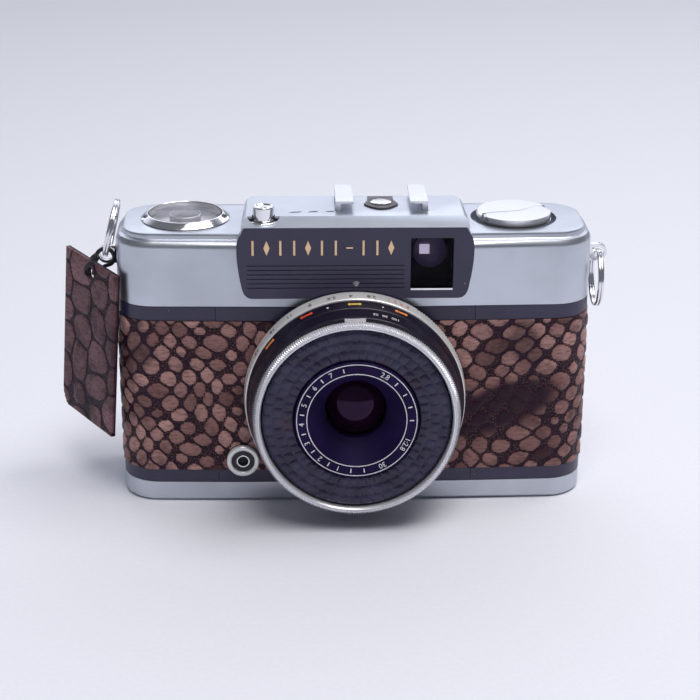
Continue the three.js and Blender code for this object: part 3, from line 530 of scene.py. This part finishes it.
def snakeskin(u, v, scales):
    """Ridge, tone and height, each 0..1, of a sheet of scales at points (u, v) in mm.

    The scales lie in staggered rows: each is a rounded lozenge or square, half
    its size given across and up, and power 1 is a lozenge and 4 nearly a square.
    """
    chance = np.random.default_rng(scales["seed"])
    pitch, row = scales["pitch"], scales["row"]
    count_u = int((u.max() - u.min()) / pitch) + 5
    count_v = int((v.max() - v.min()) / row) + 5
    flat_u, flat_v = u.ravel(), v.ravel()
    phase = scales["seed"]
    bend_u = np.sin(0.19 * flat_u + 0.27 * flat_v + phase) + np.sin(0.31 * flat_u - 0.17 * flat_v)
    bend_v = np.sin(0.23 * flat_u - 0.21 * flat_v + 2 * phase)
    flat_u, flat_v = flat_u + scales["warp"] * bend_u, flat_v + scales["warp"] * bend_v
    near = np.full(len(flat_u), 1e9)
    second = np.full(len(flat_u), 1e9)
    owner = np.zeros(len(flat_u), int)
    tones = []
    for j in range(-2, count_v):
        for i in range(-2, count_u):
            shift_u, shift_v = chance.uniform(-1, 1, 2) * scales["stray"]
            grow_u, grow_v = chance.uniform(0.80, 1.1, 2) * (1 if chance.random() > 0.14 else 0.66)
            turn = chance.uniform(-0.32, 0.32) + scales["turn"]
            power = scales["power"] + chance.uniform(-0.25, 0.5)
            du = flat_u - (u.min() + (i + 0.5 * (j % 2)) * pitch + scales["lean"] * j + shift_u)
            dv = flat_v - (v.min() + (j + scales["first"]) * row + shift_v)
            across = np.abs(du * math.cos(turn) + dv * math.sin(turn)) / (scales["half"][0] * grow_u)
            up = np.abs(dv * math.cos(turn) - du * math.sin(turn)) / (scales["half"][1] * grow_v)
            reach = (across ** power + up ** power) ** (1 / power)
            closer = reach < near
            second = np.where(closer, near, np.minimum(second, reach))
            owner = np.where(closer, len(tones), owner)
            near = np.where(closer, reach, near)
            tones.append(chance.beta(1.6, 1.3))
    middle = sum(scales["half"]) / 2
    gap = np.minimum((1 - near) * middle, (second - near) * middle / 2 - scales["net"])
    ridge = smooth_step(gap, -0.05, 0.3)
    dome = np.clip(1 - near ** 2, 0, 1)
    height = ridge * (0.65 + 0.35 * dome)
    return (ridge.reshape(u.shape), np.array(tones)[owner].reshape(u.shape), height.reshape(u.shape))


BODY_SCALES = {"pitch": 5.0, "row": 3.0, "half": (2.0, 2.1), "power": 1.6, "turn": -0.12,
               "stray": 0.34, "lean": 0.14, "net": 0.2, "first": 0.0, "seed": 11, "warp": 0.6}
TAG_SCALES = {"pitch": 17.0, "row": 4.0, "half": (4.7, 4.3), "power": 2.5, "turn": -0.22,
              "stray": 0.6, "lean": 0.0, "net": 0.26, "first": 0.4, "seed": 51, "warp": 0.7}


def plan_route(last_y):
    """The body's outline from the middle of the front round the right end, as
    rows of x, y and the outward normal, with the distance along it."""
    radius, side, rear = 9.0, 55.4, 14.0
    turn_x = side - radius
    fall = 1.1 * (turn_x / 50) ** 2
    points = []
    for x in np.linspace(0, turn_x, 60):
        points.append((x, -rear + 1.1 * (x / 50) ** 2))
    for angle in np.linspace(-math.pi / 2, 0, 24)[1:]:
        points.append((turn_x + radius * math.cos(angle),
                       -rear + fall + radius + radius * math.sin(angle)))
    for y in np.linspace(-rear + fall + radius, rear - radius, 12)[1:]:
        points.append((side, y))
    for angle in np.linspace(0, math.pi / 2, 24)[1:]:
        points.append((turn_x + radius * math.cos(angle),
                       rear - radius + radius * math.sin(angle)))
    points = np.array(points)
    steps = np.hypot(*np.diff(points, axis=0).T)
    along = np.concatenate(([0], np.cumsum(steps)))
    tangent = np.gradient(points, axis=0)
    tangent /= np.hypot(*tangent.T)[:, None]
    normal = np.stack((tangent[:, 1], -tangent[:, 0]), 1)
    beyond = (points[:, 0] > turn_x) & (points[:, 1] > last_y)
    stop = np.argmax(beyond) if beyond.any() else len(points) - 1
    return points, normal, along, along[stop]


SKIN_FOOT, SKIN_HEAD = 8.4, 46.03  # the lower and upper edge of the body's leather


def skin_sheet(name, node, look, grid_u, grid_v, lift_to, scales, hole_test=None,
               depth=0.42, thick=0.75, tone_at=None):
    """A sheet of snakeskin with its scales as real relief, closed at the back."""
    u, v = np.meshgrid(grid_u, grid_v, indexing="ij")
    keep = np.ones(u.shape, bool)
    if hole_test:
        u, v, keep = hole_test(u, v)
    ridge, tone, height = snakeskin(u, v, scales)
    if tone_at is not None:
        tone = tone * tone_at(u, v)
    rows, cols = u.shape
    edge = np.minimum.reduce([u - u.min(), u.max() - u, v - v.min(), v.max() - v])
    height = height * depth * smooth_step(edge, 0, 0.7) + 0.02
    front = lift_to(u, v, height).reshape(-1, 3)
    back = lift_to(u, v, height * 0 - thick).reshape(-1, 3)
    total = rows * cols
    index = np.arange(total).reshape(rows, cols)
    faces, border = [], {}
    for i in range(rows - 1):
        for j in range(cols - 1):
            if not keep[i:i + 2, j:j + 2].all():
                continue
            loop = (index[i, j], index[i + 1, j], index[i + 1, j + 1], index[i, j + 1])
            loop = tuple(int(k) for k in loop)
            faces.append(loop)
            faces.append(tuple(k + total for k in reversed(loop)))
            for a, b in zip(loop, loop[1:] + loop[:1]):
                if (b, a) in border:
                    del border[(b, a)]
                else:
                    border[(a, b)] = True
    for a, b in border:
        faces.append((b, a, a + total, b + total))
    mesh = mesh_of(name, np.concatenate((front, back)), faces)
    for label, values in (("ridge", ridge), ("tone", tone)):
        layer = mesh.attributes.new(label, "FLOAT", "POINT")
        shade = values.ravel()
        layer.data.foreach_set("value", np.concatenate((shade, shade * 0)).astype(np.float32))
    return piece_of(mesh, name, look, body_of(node), (node,), SLOTS[node], sharp=60)


GRID = 0.42  # the step of the leather's grid


def round_hole(u, v, keep, centre_u, centre_v, radius):
    """Opens a round hole in a grid, drawing the points at its rim onto the circle."""
    du, dv = u - centre_u, v - centre_v
    reach = np.hypot(du, dv)
    inside = reach < radius
    near_rim = inside & (reach > radius - 1.5 * GRID)
    scale = np.where(near_rim, radius / np.maximum(reach, 1e-6), 1)
    u = centre_u + du * scale
    v = centre_v + dv * scale
    return u, v, keep & (~inside | near_rim)


def front_skin(side):
    """One front leather: side is 1 on the right and -1 on the left."""
    last = 10.95 if side > 0 else 10.1
    points, normal, along, end = plan_route(last)
    name = "right" if side > 0 else "left"

    def lift(u, v, height):
        x = np.interp(u, along, points[:, 0])
        y = np.interp(u, along, points[:, 1])
        nx = np.interp(u, along, normal[:, 0])
        ny = np.interp(u, along, normal[:, 1])
        return np.stack((side * (x + nx * height), y + ny * height, v), -1)

    def holes(u, v):
        keep = np.ones(u.shape, bool)
        u, v, keep = round_hole(u, v, keep, 0, LENS_Z, 23.9)
        if side < 0:
            u, v, keep = round_hole(u, v, keep, -SOCKET[0], SOCKET[1], 4.02)
        else:
            y = np.interp(u, along, points[:, 1])
            slot = (y > 6) & (y < 8.2) & (v > 25) & (v < 37) & (u > 50)
            keep = keep & ~slot
        return u, v, keep

    def tone_at(u, v):
        # Scale tone: lower towards the middle on the left; on the right, lower in one patch and towards the
        # bottom.
        if side < 0:
            return 0.75 + 0.25 * smooth_step(u, 4, 40)
        dark_patch = np.hypot((u - 36) / 15, (v - 25 - 0.3 * (u - 36)) / 7.5)
        dim = 1 - 0.45 * smooth_step(35 - v, 0, 10)
        return dim * (0.04 + 0.96 * smooth_step(dark_patch, 0.5, 1.3))

    grid_u = np.linspace(8.2, end, int((end - 8.2) / GRID))
    grid_v = np.linspace(SKIN_FOOT, SKIN_HEAD, int(37.6 / GRID))
    scales = dict(BODY_SCALES)
    if side > 0:
        scales.update(pitch=5.7, row=3.2, half=(2.35, 2.05), turn=0.3, lean=-0.3, seed=23)
    return skin_sheet(f"snakeskin_{name}", f"leather_{name}", "skin", grid_u, grid_v, lift,
                      scales, holes, tone_at=tone_at)


def back_skin():
    def lift(u, v, height):
        return np.stack((-u, 14.02 + height, v), -1)
    grid_u = np.linspace(-46.3, 46.3, int(92.6 / (1.2 * GRID)))
    grid_v = np.linspace(SKIN_FOOT, SKIN_HEAD, int(37.6 / (1.2 * GRID)))
    return skin_sheet("snakeskin_back", "leather_back", "skin", grid_u, grid_v, lift,
                      {**BODY_SCALES, "seed": 37})


TAG = {"x": -61.7, "y": -0.4, "half": 12.3, "foot": 16.2, "head": 56.6, "turn": -56.0, "lean": 4.0}


def tag_place(u, out, z):
    """A point of the tag: u across it, out from its middle plane to the front."""
    turn, lean = math.radians(TAG["turn"]), math.radians(TAG["lean"])
    eye = TAG["head"] - 3
    x = u * math.cos(turn) + out * math.sin(turn)
    y = u * math.sin(turn) - out * math.cos(turn)
    across = x * math.cos(lean) + (z - eye) * math.sin(lean)
    up = (z - eye) * math.cos(lean) - x * math.sin(lean)
    return TAG["x"] + across, TAG["y"] + y, eye + up


def tag_skin():
    def lift(u, v, height):
        x, y, z = tag_place(u, height + 0.42, v)
        return np.stack((x, y, z), -1)

    def holes(u, v):
        keep = np.ones(u.shape, bool)
        u, v, keep = round_hole(u, v, keep, 0, TAG["head"] - 3, 1.6)
        return u, v, keep & (v - TAG["foot"] > (-TAG["half"] + 2.2 - u) * 1.6)

    grid_u = np.linspace(-TAG["half"], TAG["half"], 60)
    grid_v = np.linspace(TAG["foot"], TAG["head"], 98)
    return skin_sheet("tag_snakeskin", "leather_tag", "tag_skin", grid_u, grid_v, lift,
                      TAG_SCALES, holes, depth=0.3, thick=1.05)


# ------------------------------------------------------------ body and covers

for cad_node, cad_look, ease in (
    ("body_casting", "paint", 0.12), ("front_plate", "paint", 0.12), ("bottom_plate", "satin", 0.15),
    ("top_cover", "satin", 0.16), ("front_panel", "panel", 0.16), ("back_door", "paint", 0.15),
    ("hot_shoe", "shoe", 0.1), ("shoe_insulator", "grey", 0.05), ("shoe_contact", "chrome", 0.08),
    ("rewind_knob", "knob", 0.12), ("rewind_crank", "knob", 0.14),
    ("eyepiece_frame", "paint", 0.25), ("door_latch", "satin", 0.2), ("strap_lug_left", "chrome", 0.15),
    ("strap_lug_right", "chrome", 0.15), ("advance_wheel", "satin", 0.15),
    ("rewind_release", "chrome", 0.08), ("tripod_bush", "steel", 0.1),
):
    fine_copy(cad_node, cad_look, ease)

for cad_node, cad_look in (
    ("index_pin", "chrome"), ("finder_tube", "matt"), ("eyepiece_lens", "dark_glass"),
    ("crank_pin", "steel"),
    ("rewind_shaft", "steel"), ("rewind_bush", "steel"), ("take_up_spool", "plastic"),
    ("film_sprocket", "matt"), ("hinge_pin", "steel"), ("pressure_plate", "black"),
    ("pressure_spring", "steel"), ("light_seal", "foam"), ("flash_socket_insulator", "plastic"),
    ("lens_mount", "matt"), ("selenium_cell", "plastic"), ("rear_lens", "front_glass"),
    ("shutter_case", "matt"), ("finder_window", "finder_glass"), ("finder_lens", "finder_back"),
):
    cad_data = frame["nodes"][cad_node].data
    cad_data.materials.clear()
    cad_data.materials.append(LOOKS[cad_look])

front_skin(-1)
front_skin(1)
back_skin()
tag_skin()


# ----------------------------------------------------------------------- lens

def serrated(count, depth, low, high, least, spans=None):
    """A knurl between two heights, outside a least radius, over spans in degrees."""
    def shift(radius, along, angle):
        wave = 0.5 - 0.5 * np.cos(count * angle)
        on = (along > low) & (along < high) & (radius > least)
        if spans:
            turn = np.degrees(np.pi / 2 - angle) % 360
            within = np.zeros(turn.shape, bool)
            for start, stop in spans:
                within |= (turn > start) & (turn < stop)
            on = on & within
        return -depth * wave * on
    return shift


turned("aperture_ring_fine", [(20.3, -16.1), (25.75, -16.1), (25.9, -16.3), (25.85, -17.4),
                              (25.6, -19.9), (25.4, -20.2), (20.3, -20.2)],
       "ring", "aperture_ring", segments=1080, soften=0.1,
       shift=serrated(216, 0.22, -18.0, -16.0, 25, [(33, 74)]))
turned("focus_ring_fine", [(20.3, -20.5), (25.2, -20.5), (25.3, -20.8), (24.6, -23.5),
                           (24.3, -23.7), (20.3, -23.7)],
       "black", "focus_ring", segments=1080, soften=0.12,
       shift=serrated(216, 0.2, -23.2, -21, 24, [(48, 78), (250, 290)]))
turned("speed_collar_fine", [(20.1, -24), (24.5, -24), (24.45, -24.4), (24.05, -28),
                             (23.9, -28.3), (22.9, -28.3), (22.9, -27), (20.1, -27)],
       "black", "speed_collar", segments=240, soften=0.12)
turned("speed_bezel_fine", [(21.9, -27.3), (22.6, -27.3), (22.6, -28.6), (23.15, -28.6),
                            (23.74, -29.85), (23.74, -29.98), (23.45, -30.85), (23.1, -31.1),
                            (22.75, -31.1), (22.6, -30.85), (22.45, -31.12), (22.2, -31.12),
                            (21.9, -30.6)],
       "bezel", "speed_bezel", segments=1040, soften=0.08,
       shift=serrated(260, 0.42, -31.3, -29.2, 22.7), sharp=20)


def lenslets():
    """The meter's window: rings of small domes pressed into clear plastic."""
    inner, outer = 14.45, 21.55
    rings = np.linspace(inner, outer, 54)
    angle = np.linspace(0, 2 * math.pi, 900, endpoint=False)
    radius, turn = np.meshgrid(rings, angle, indexing="ij")
    width = (outer - inner) / 3
    band = np.clip(((radius - inner) / width).astype(int), 0, 2)
    across = np.sin(math.pi * ((radius - inner) / width - band))
    around = np.abs(np.sin(24 * turn + band * 0.9 + 0.3 * np.sin(5 * turn + band)))
    dome = np.sqrt(np.clip(across, 0, 1)) * (0.2 + 0.8 * around ** 0.45)
    slope = 0.25 * smooth_step(radius, 20.6, outer)
    y = -29.98 - 0.45 * dome + slope
    front = np.stack((radius * np.cos(turn), y, LENS_Z + radius * np.sin(turn)), -1)
    back = np.stack((radius * np.cos(turn), -29.2 + 0 * y, LENS_Z + radius * np.sin(turn)), -1)
    points = np.concatenate((front.reshape(-1, 3), back[[0, -1]].reshape(-1, 3)))
    rows, cols = radius.shape
    faces = []

    def strip(low, high):
        for j in range(cols):
            nxt = (j + 1) % cols
            faces.append((low + j, low + nxt, high + nxt, high + j))
    for i in range(rows - 1):
        strip(i * cols, (i + 1) * cols)
    strip((rows - 1) * cols, (rows + 1) * cols)
    strip((rows + 1) * cols, rows * cols)
    strip(rows * cols, 0)
    piece_of(mesh_of("cell_window_fine", points, faces), "cell_window_fine", "cell",
             "camera_body", ("cell_window",), SLOTS["cell_window"], sharp=50)


lenslets()

ring_profile = [(7.15, -22.6), (14.2, -22.6), (14.2, -30.6), (14.05, -30.78), (11.1, -30.78),
                (10.85, -30.4)]
for groove in range(14):
    depth_along = groove / 13
    groove_y = -30.2 + 6.1 * depth_along
    groove_r = 10.75 - 3.6 * depth_along
    ring_profile += [(groove_r, groove_y), (groove_r + 0.1, groove_y + 0.2)]
turned("name_ring_fine", ring_profile, "cone", "name_ring", segments=220, soften=0.03, sharp=30)
lens_front = [(reach, -13.7 - math.sqrt(121 - reach * reach)) for reach in (0, 1.5, 3, 4.3, 5.4, 6.3, 7)]
turned("front_lens_fine", lens_front + [(7, -21.6), (0, -21.6)],
       "front_glass", "front_lens", segments=120, soften=0, sharp=60)

for white_name, white_radius in (("outer_circle", 13.67), ("inner_circle", 11.36)):
    turned(white_name, [(white_radius - 0.1, -30.76), (white_radius + 0.1, -30.76),
                        (white_radius + 0.1, -30.82), (white_radius - 0.1, -30.82)],
           "white", body="camera_body", segments=200, soften=0)

face_parts = []
for text, turn in (("1:2.8", 118), ("30", 152), ("2.8", 30), ("1", 200), ("2", 222), ("3", 244),
                   ("4", 266), ("5", 288), ("6", 310), ("7", 332)):
    face_parts.append(figures(text, 1.75, on_face(turn, FACE_RADIUS, FACE_Y)))
for turn in (45, 60, 75, 90, 172, 186, 211, 233, 255, 277, 299, 321, 346):
    place = on_face(turn, FACE_RADIUS, FACE_Y)
    tick = [(-0.13, -0.5), (0.13, -0.5), (0.13, 0.5), (-0.13, 0.5)]
    face_parts.append(slab(tick, 0, 0.06, place))
marks("name_ring_figures", face_parts, "white", "camera_body")

ink_parts = []
for text, turn in (("22", -62), ("16", -48), ("11", -36), ("8", -24), ("5.6", -12.5), ("4", -2.5),
                   ("2.8", 8)):
    ink_parts.append(figures(text, 1.75, on_ring(turn, 25.72, -18.55, 0.1)))
marks("aperture_figures", ink_parts, "ink", "aperture_ring")
red_parts = []
for text, turn in (("1", 17), ("2", 20.5), ("4", 24), ("8", 27.5)):
    red_parts.append(figures(text, 1.5, on_ring(turn, 25.72, -18.55, 0.1)))
marks("aperture_red_figures", red_parts, "red", "aperture_ring")

DOT = [(0.42 * math.cos(a), 0.42 * math.sin(a)) for a in np.linspace(0, 2 * math.pi, 12, endpoint=False)]
BAR = [(-0.75, -0.28), (0.75, -0.28), (0.75, 0.28), (-0.75, 0.28)]


def zone(name, turns, look):
    parts = []
    for turn in turns:
        for shape, off in ((DOT, -1.9), (BAR, 0.2), (DOT, 2.1)):
            place = on_ring(turn + off * 1.3, 24.98, -22.1, 0.26)
            parts.append(slab(shape, 0, 0.06, place))
    marks(name, parts, look, "focus_ring")


zone("zone_red", (-27,), "red")
zone("zone_white", (-1,), "yellow")
zone("zone_orange", (24, -52), "orange")
dot_parts = []
for turn, y, size in ((-15, -22.2, 0.6), (-17, -21.5, 0.4), (14, -22.3, 0.5)):
    place = on_ring(turn, 24.97, y, 0.26)
    dot_parts.append(slab([(size * u, size * v) for u, v in DOT], 0, 0.05, place))
marks("focus_dots", dot_parts, "white", "focus_ring")

collar_parts = [figures(text, 1.35, on_ring(turn, 24.3, -26.1, 0.1))
                for text, turn in (("25", 10), ("50", 15), ("100", 21))]
marks("collar_figures", collar_parts, "white", "camera_body")
plate = on_ring(-1, 23.9, -27.9, 0.1)
marks("speed_plate", [slab([(-2.4, -0.55), (2.4, -0.55), (2.4, 0.55), (-2.4, 0.55)], -1.2, 0.05, plate)],
      "ring", "speed_bezel")
plate = on_ring(-1, 23.97, -27.9, 0.1)
marks("speed_figures", [figures("200", 1.1, plate, 0.03)], "ink", "speed_bezel")


# ---------------------------------------------------------- round things on top

button = {"centre": (-20.9, -11.4), "axis": "z", "segments": 96}
turned("shutter_button_fine", [(0, 67), (2.42, 67), (2.42, 72.95), (2.3, 73.17), (2.12, 73.18),
                               (1.75, 72.85), (0.8, 72.65), (0.8, 72.2), (0, 72.2)],
       "chrome", "shutter_button", soften=0.08, **button)
turned("button_collar_fine", [(2.7, 69.2), (3.65, 69.2), (3.65, 69.8), (3.45, 70), (2.85, 70), (2.7, 69.9)],
       "chrome", "button_collar", soften=0.08, **button)
counter = {"centre": (-39.4, 0.9), "axis": "z", "segments": 128}


def notched(radius, along, angle):
    """A notch cut in the ring's slope on each side, a little to the front."""
    lean = math.atan2(-1.95, 9.55)
    off = np.minimum(*(np.abs((angle - middle + math.pi) % (2 * math.pi) - math.pi)
                       for middle in (lean, math.pi - lean)))
    return np.where((off < 0.1) & (radius > 8.95) & (along > 67.1), 8.95 - radius, 0)


turned("counter_ring_fine", [(8.65, 66.8), (10.4, 66.8), (10.4, 66.95), (9.93, 67.35), (9.47, 67.75),
                             (9.02, 68.13), (8.75, 68.15), (8.65, 68.05)],
       "chrome", "counter_ring", soften=0.05, shift=notched, **counter)
turned("counter_window_fine", [(0, 67.85), (8.5, 67.85), (8.5, 68.1), (7.6, 68.15), (0, 68.2)],
       "counter_glass", "counter_window", soften=0, **counter)
turned("counter_dial_fine", [(0, 62), (1.5, 62), (1.5, 65.5), (8.35, 65.5), (8.35, 65.9),
                             (3.64, 65.9), (3.64, 67.5), (3.5, 67.6), (0, 67.6)],
       "dial", "counter_dial", soften=0.05, **counter)
turned("counter_hub", [(0, 67.58), (3.42, 67.58), (3.42, 67.64), (0, 67.64)],
       "hub", body="counter_dial", soften=0, **counter)


# --------------------------------------------------------------- flash socket

socket = {"centre": SOCKET, "segments": 96}
turned("flash_socket_ring_fine", [(2.72, -14.1), (3.87, -14.1), (3.87, -15.05), (3.6, -15.35),
                                  (2.95, -15.35), (2.72, -15.15)],
       "ring", "flash_socket_ring", soften=0.1, **socket)
turned("flash_socket_core", [(0, -13.5), (1.18, -13.5), (1.18, -13.9), (0, -13.9)],
       "matt", body="camera_body", soften=0, **socket)
turned("flash_socket_sleeve_fine", [(0, -13.4), (1.25, -13.4), (1.25, -15.1), (1.55, -15.1),
                                    (1.55, -12.8), (0, -12.8)],
       "chrome", "flash_socket_sleeve", soften=0.05, **socket)


# ------------------------------------------------------- rings, cord and tag

def coil(side, lean):
    """A split ring: two turns of round wire that lie side by side."""
    mean, turns, steps = 6.5, 2.0, 150
    route = []
    for step in range(steps + 1):
        angle = 2 * math.pi * turns * step / steps + 0.6
        drift = 0.46 * math.sin(math.pi * (step / steps - 0.5))
        y = mean * math.sin(angle)
        z = -mean + mean * math.cos(angle)
        route.append((drift, y, z))
    tilt = math.radians(lean)
    carried = []
    for x, y, z in route:
        across = x * math.cos(tilt) + z * math.sin(tilt)
        up = -x * math.sin(tilt) + z * math.cos(tilt)
        carried.append((side * LUG[0] + across, y, LUG[1] + up))
    return swept(carried, 0.43, 10)


def split_ring(name, side, lean):
    points, faces = coil(side, lean)
    mesh = mesh_of(name, points, faces)
    piece_of(mesh, name + "_coil", "chrome", name, (name,), SLOTS[name], sharp=50)


split_ring("split_ring_left", -1, 193)
split_ring("split_ring_right", 1, 0)


def smooth_route(route, count, closed):
    """A Catmull-Rom curve through the points of a route."""
    route = np.asarray(route, float)
    total = len(route)
    spans = total if closed else total - 1
    made = []
    for step in range(count):
        place = spans * step / (count if closed else count - 1)
        i = min(int(place), spans - 1)
        t = place - i
        pick = [(i + k) % total if closed else min(max(i + k, 0), total - 1) for k in (-1, 0, 1, 2)]
        a, b, c, d = (route[k] for k in pick)
        made.append(0.5 * (2 * b + (c - a) * t + (2 * a - 5 * b + 4 * c - d) * t ** 2
                           + (3 * b - a - 3 * c + d) * t ** 3))
    return made


cord_route = [
    (-61.6, -0.3, 53.5), (-60.3, 0.4, 53.4), (-59.6, -0.6, 54.4), (-58.9, -1.9, 55.4),
    (-58.1, -2.6, 56.1), (-56.7, -2.6, 56.7), (-56.1, -2.6, 58.2), (-56.7, -2.6, 59.7),
    (-58.1, -2.6, 60.3), (-59.6, -2.6, 59.7), (-60.4, -2.6, 58.4), (-61.6, -2.5, 56.9),
    (-63, -1.9, 55.2), (-63.1, -1.4, 53.8), (-62.3, -0.8, 53.4),
]
knot_route = [
    (-60.9, -2.6, 57.9), (-60.2, -3.3, 57.6), (-59.9, -3.0, 58.4), (-60.5, -2.2, 58.6),
    (-61.3, -2.3, 58.0), (-61.2, -3.2, 57.5), (-60.5, -3.5, 58.1), (-60.4, -2.9, 59.0),
]
cord_parts = [swept(smooth_route(cord_route, 140, False), 0.48, 12),
              swept(smooth_route(knot_route, 80, True), 0.4, 10, True)]
cord_points, cord_faces = gathered(cord_parts)
piece_of(mesh_of("tag_cord_fine", cord_points, cord_faces), "tag_cord_fine", "cord", "leather_tag",
         ("tag_cord",), SLOTS["tag_cord"])


# --------------------------------------------------- small things on the body

def panel_place(u, v, out):
    return (u, PANEL_Y - out, v)


gold_parts = []
for stroke in range(11):
    middle = -23.4 + stroke * 3.15
    if stroke == 7:
        shape = [(-0.75, -0.16), (0.75, -0.16), (0.75, 0.16), (-0.75, 0.16)]
    elif stroke % 3 == 1:
        shape = [(-0.7, 0), (0, -1.75), (0.7, 0), (0, 1.75)]
    else:
        shape = [(-0.24, -1.75), (0.24, -1.75), (0.24, 1.75), (-0.24, 1.75)]
    outline = [(middle + u, 64.4 + v) for u, v in shape]
    gold_parts.append(slab(outline, -0.02, 0.1, panel_place))
marks("panel_ornament", gold_parts, "gold", "camera_body")


def oblong(left, right, foot, head):
    return [(left, foot), (right, foot), (right, head), (left, head)]


# A white pane behind the finder window that glows: painted light seen through the finder.
marks("finder_glow_pane", [slab(oblong(14.75, 17.05, 61.85, 64.1), -3.6, -3.3, panel_place)],
      "pane", "camera_body")
marks("finder_lip", [slab(oblong(12.7, 22.3, 54.2, 54.62), -0.5, 0.08, panel_place)],
      "chrome", "camera_body")


def top_place(u, v, out):
    return (u, v, TOP_Z + out)


stroke_parts = []
for middle, v, wide in ((-13.6, -8.9, 1.5), (-9.6, -8.6, 1.2), (-5.6, -8.4, 1.2)):
    outline = [(middle - wide, v - 0.5), (middle + wide * 0.6, v - 0.2), (middle + wide, v + 0.5),
               (middle - wide * 0.5, v + 0.15)]
    stroke_parts.append(slab(outline, -0.02, 0.03, top_place))
marks("engraved_strokes", stroke_parts, "ink", "camera_body")


# ---------------------------------------------------------------- the studio

def sweep():
    """A pale paper sweep: the floor rises into the backdrop in one curve."""
    near, far, bend, half = -2800, 1300, 600, 2200
    reach = [(near, 0)]
    for step in range(25):
        angle = math.pi / 2 * step / 24
        reach.append((far + bend * math.sin(angle), bend - bend * math.cos(angle)))
    reach.append((far + bend, bend + 20))
    points, faces = [], []
    for y, z in reach:
        points += [(-half, y, z), (half, y, z)]
    for row in range(len(reach) - 1):
        faces.append((2 * row, 2 * row + 1, 2 * row + 3, 2 * row + 2))
    mesh = mesh_of("paper_sweep", points, faces)
    look = Look("paper", (0.80, 0.81, 0.88), 0.75)
    fibre = look.noise(900, 3)
    look.put("Base Color", look.mix(look.span(fibre, 0.3, 0.7), (0.79, 0.80, 0.875), (0.81, 0.82, 0.89)))
    mesh.materials.append(look.material)
    mesh.shade_smooth()
    paper = bpy.data.objects.new("paper_sweep", mesh)
    bpy.context.scene.collection.objects.link(paper)


def softbox(name, place, target, width, height, power, color):
    """A lamp of a given size in metres and power in watts, turned to a target."""
    data = bpy.data.lights.new(name, "AREA")
    data.shape = "RECTANGLE"
    data.size, data.size_y = width, height
    data.energy = power
    data.color = color
    lamp = bpy.data.objects.new(name, data)
    bpy.context.scene.collection.objects.link(lamp)
    lamp.location = place
    aim = Vector(target) - Vector(place)
    lamp.rotation_euler = aim.to_track_quat("-Z", "Y").to_euler()


sweep()
softbox("overhead", (0.24, -0.18, 1.05), (0, 0, 0), 1.2, 0.45, 10.8, (1.0, 0.985, 0.965))
softbox("backdrop", (0.2, 1.2, 0.75), (0.05, 0.75, 0), 2.4, 0.4, 1.7, (1.0, 0.985, 0.97))

world = bpy.data.worlds.new("room")
world.use_nodes = True
room = world.node_tree
heading = room.nodes.new("ShaderNodeTexCoord")
parts = room.nodes.new("ShaderNodeSeparateXYZ")
shade = room.nodes.new("ShaderNodeMapRange")
shade.interpolation_type = "SMOOTHSTEP"
for socket, number in zip(shade.inputs[1:5], (0.3, 0.95, 0.2, 1.75)):
    socket.default_value = number
sky = room.nodes["Background"]
sky.inputs["Color"].default_value = (0.80, 0.84, 0.95, 1)
room.links.new(heading.outputs["Generated"], parts.inputs[0])
room.links.new(parts.outputs["Y"], shade.inputs[0])
room.links.new(shade.outputs[0], sky.inputs["Strength"])
bpy.context.scene.world = world
bpy.context.scene.view_settings.view_transform = "Standard"


def photographer():
    """The camera stands in front of the object, a little to its left, looking down."""
    yaw, pitch, roll = (math.radians(angle) for angle in (1.9, 21.28, 0.32))
    forward = Vector((math.sin(yaw) * math.cos(pitch), math.cos(yaw) * math.cos(pitch), -math.sin(pitch)))
    right = Vector((math.cos(yaw), -math.sin(yaw), 0))
    up = right.cross(forward)
    x_axis = right * math.cos(roll) + up * math.sin(roll)
    y_axis = up * math.cos(roll) - right * math.sin(roll)
    data = bpy.data.cameras.new("photographer")
    data.lens = 92.47
    data.sensor_width = 36
    data.clip_start = 0.01
    made = bpy.data.objects.new("photographer", data)
    turn = Matrix((x_axis, y_axis, -forward)).transposed().to_4x4()
    made.matrix_world = Matrix.Translation(Vector((-14.05, -404.25, 191.0)) * MM) @ turn
    bpy.context.scene.collection.objects.link(made)
    bpy.context.scene.camera = made


photographer()
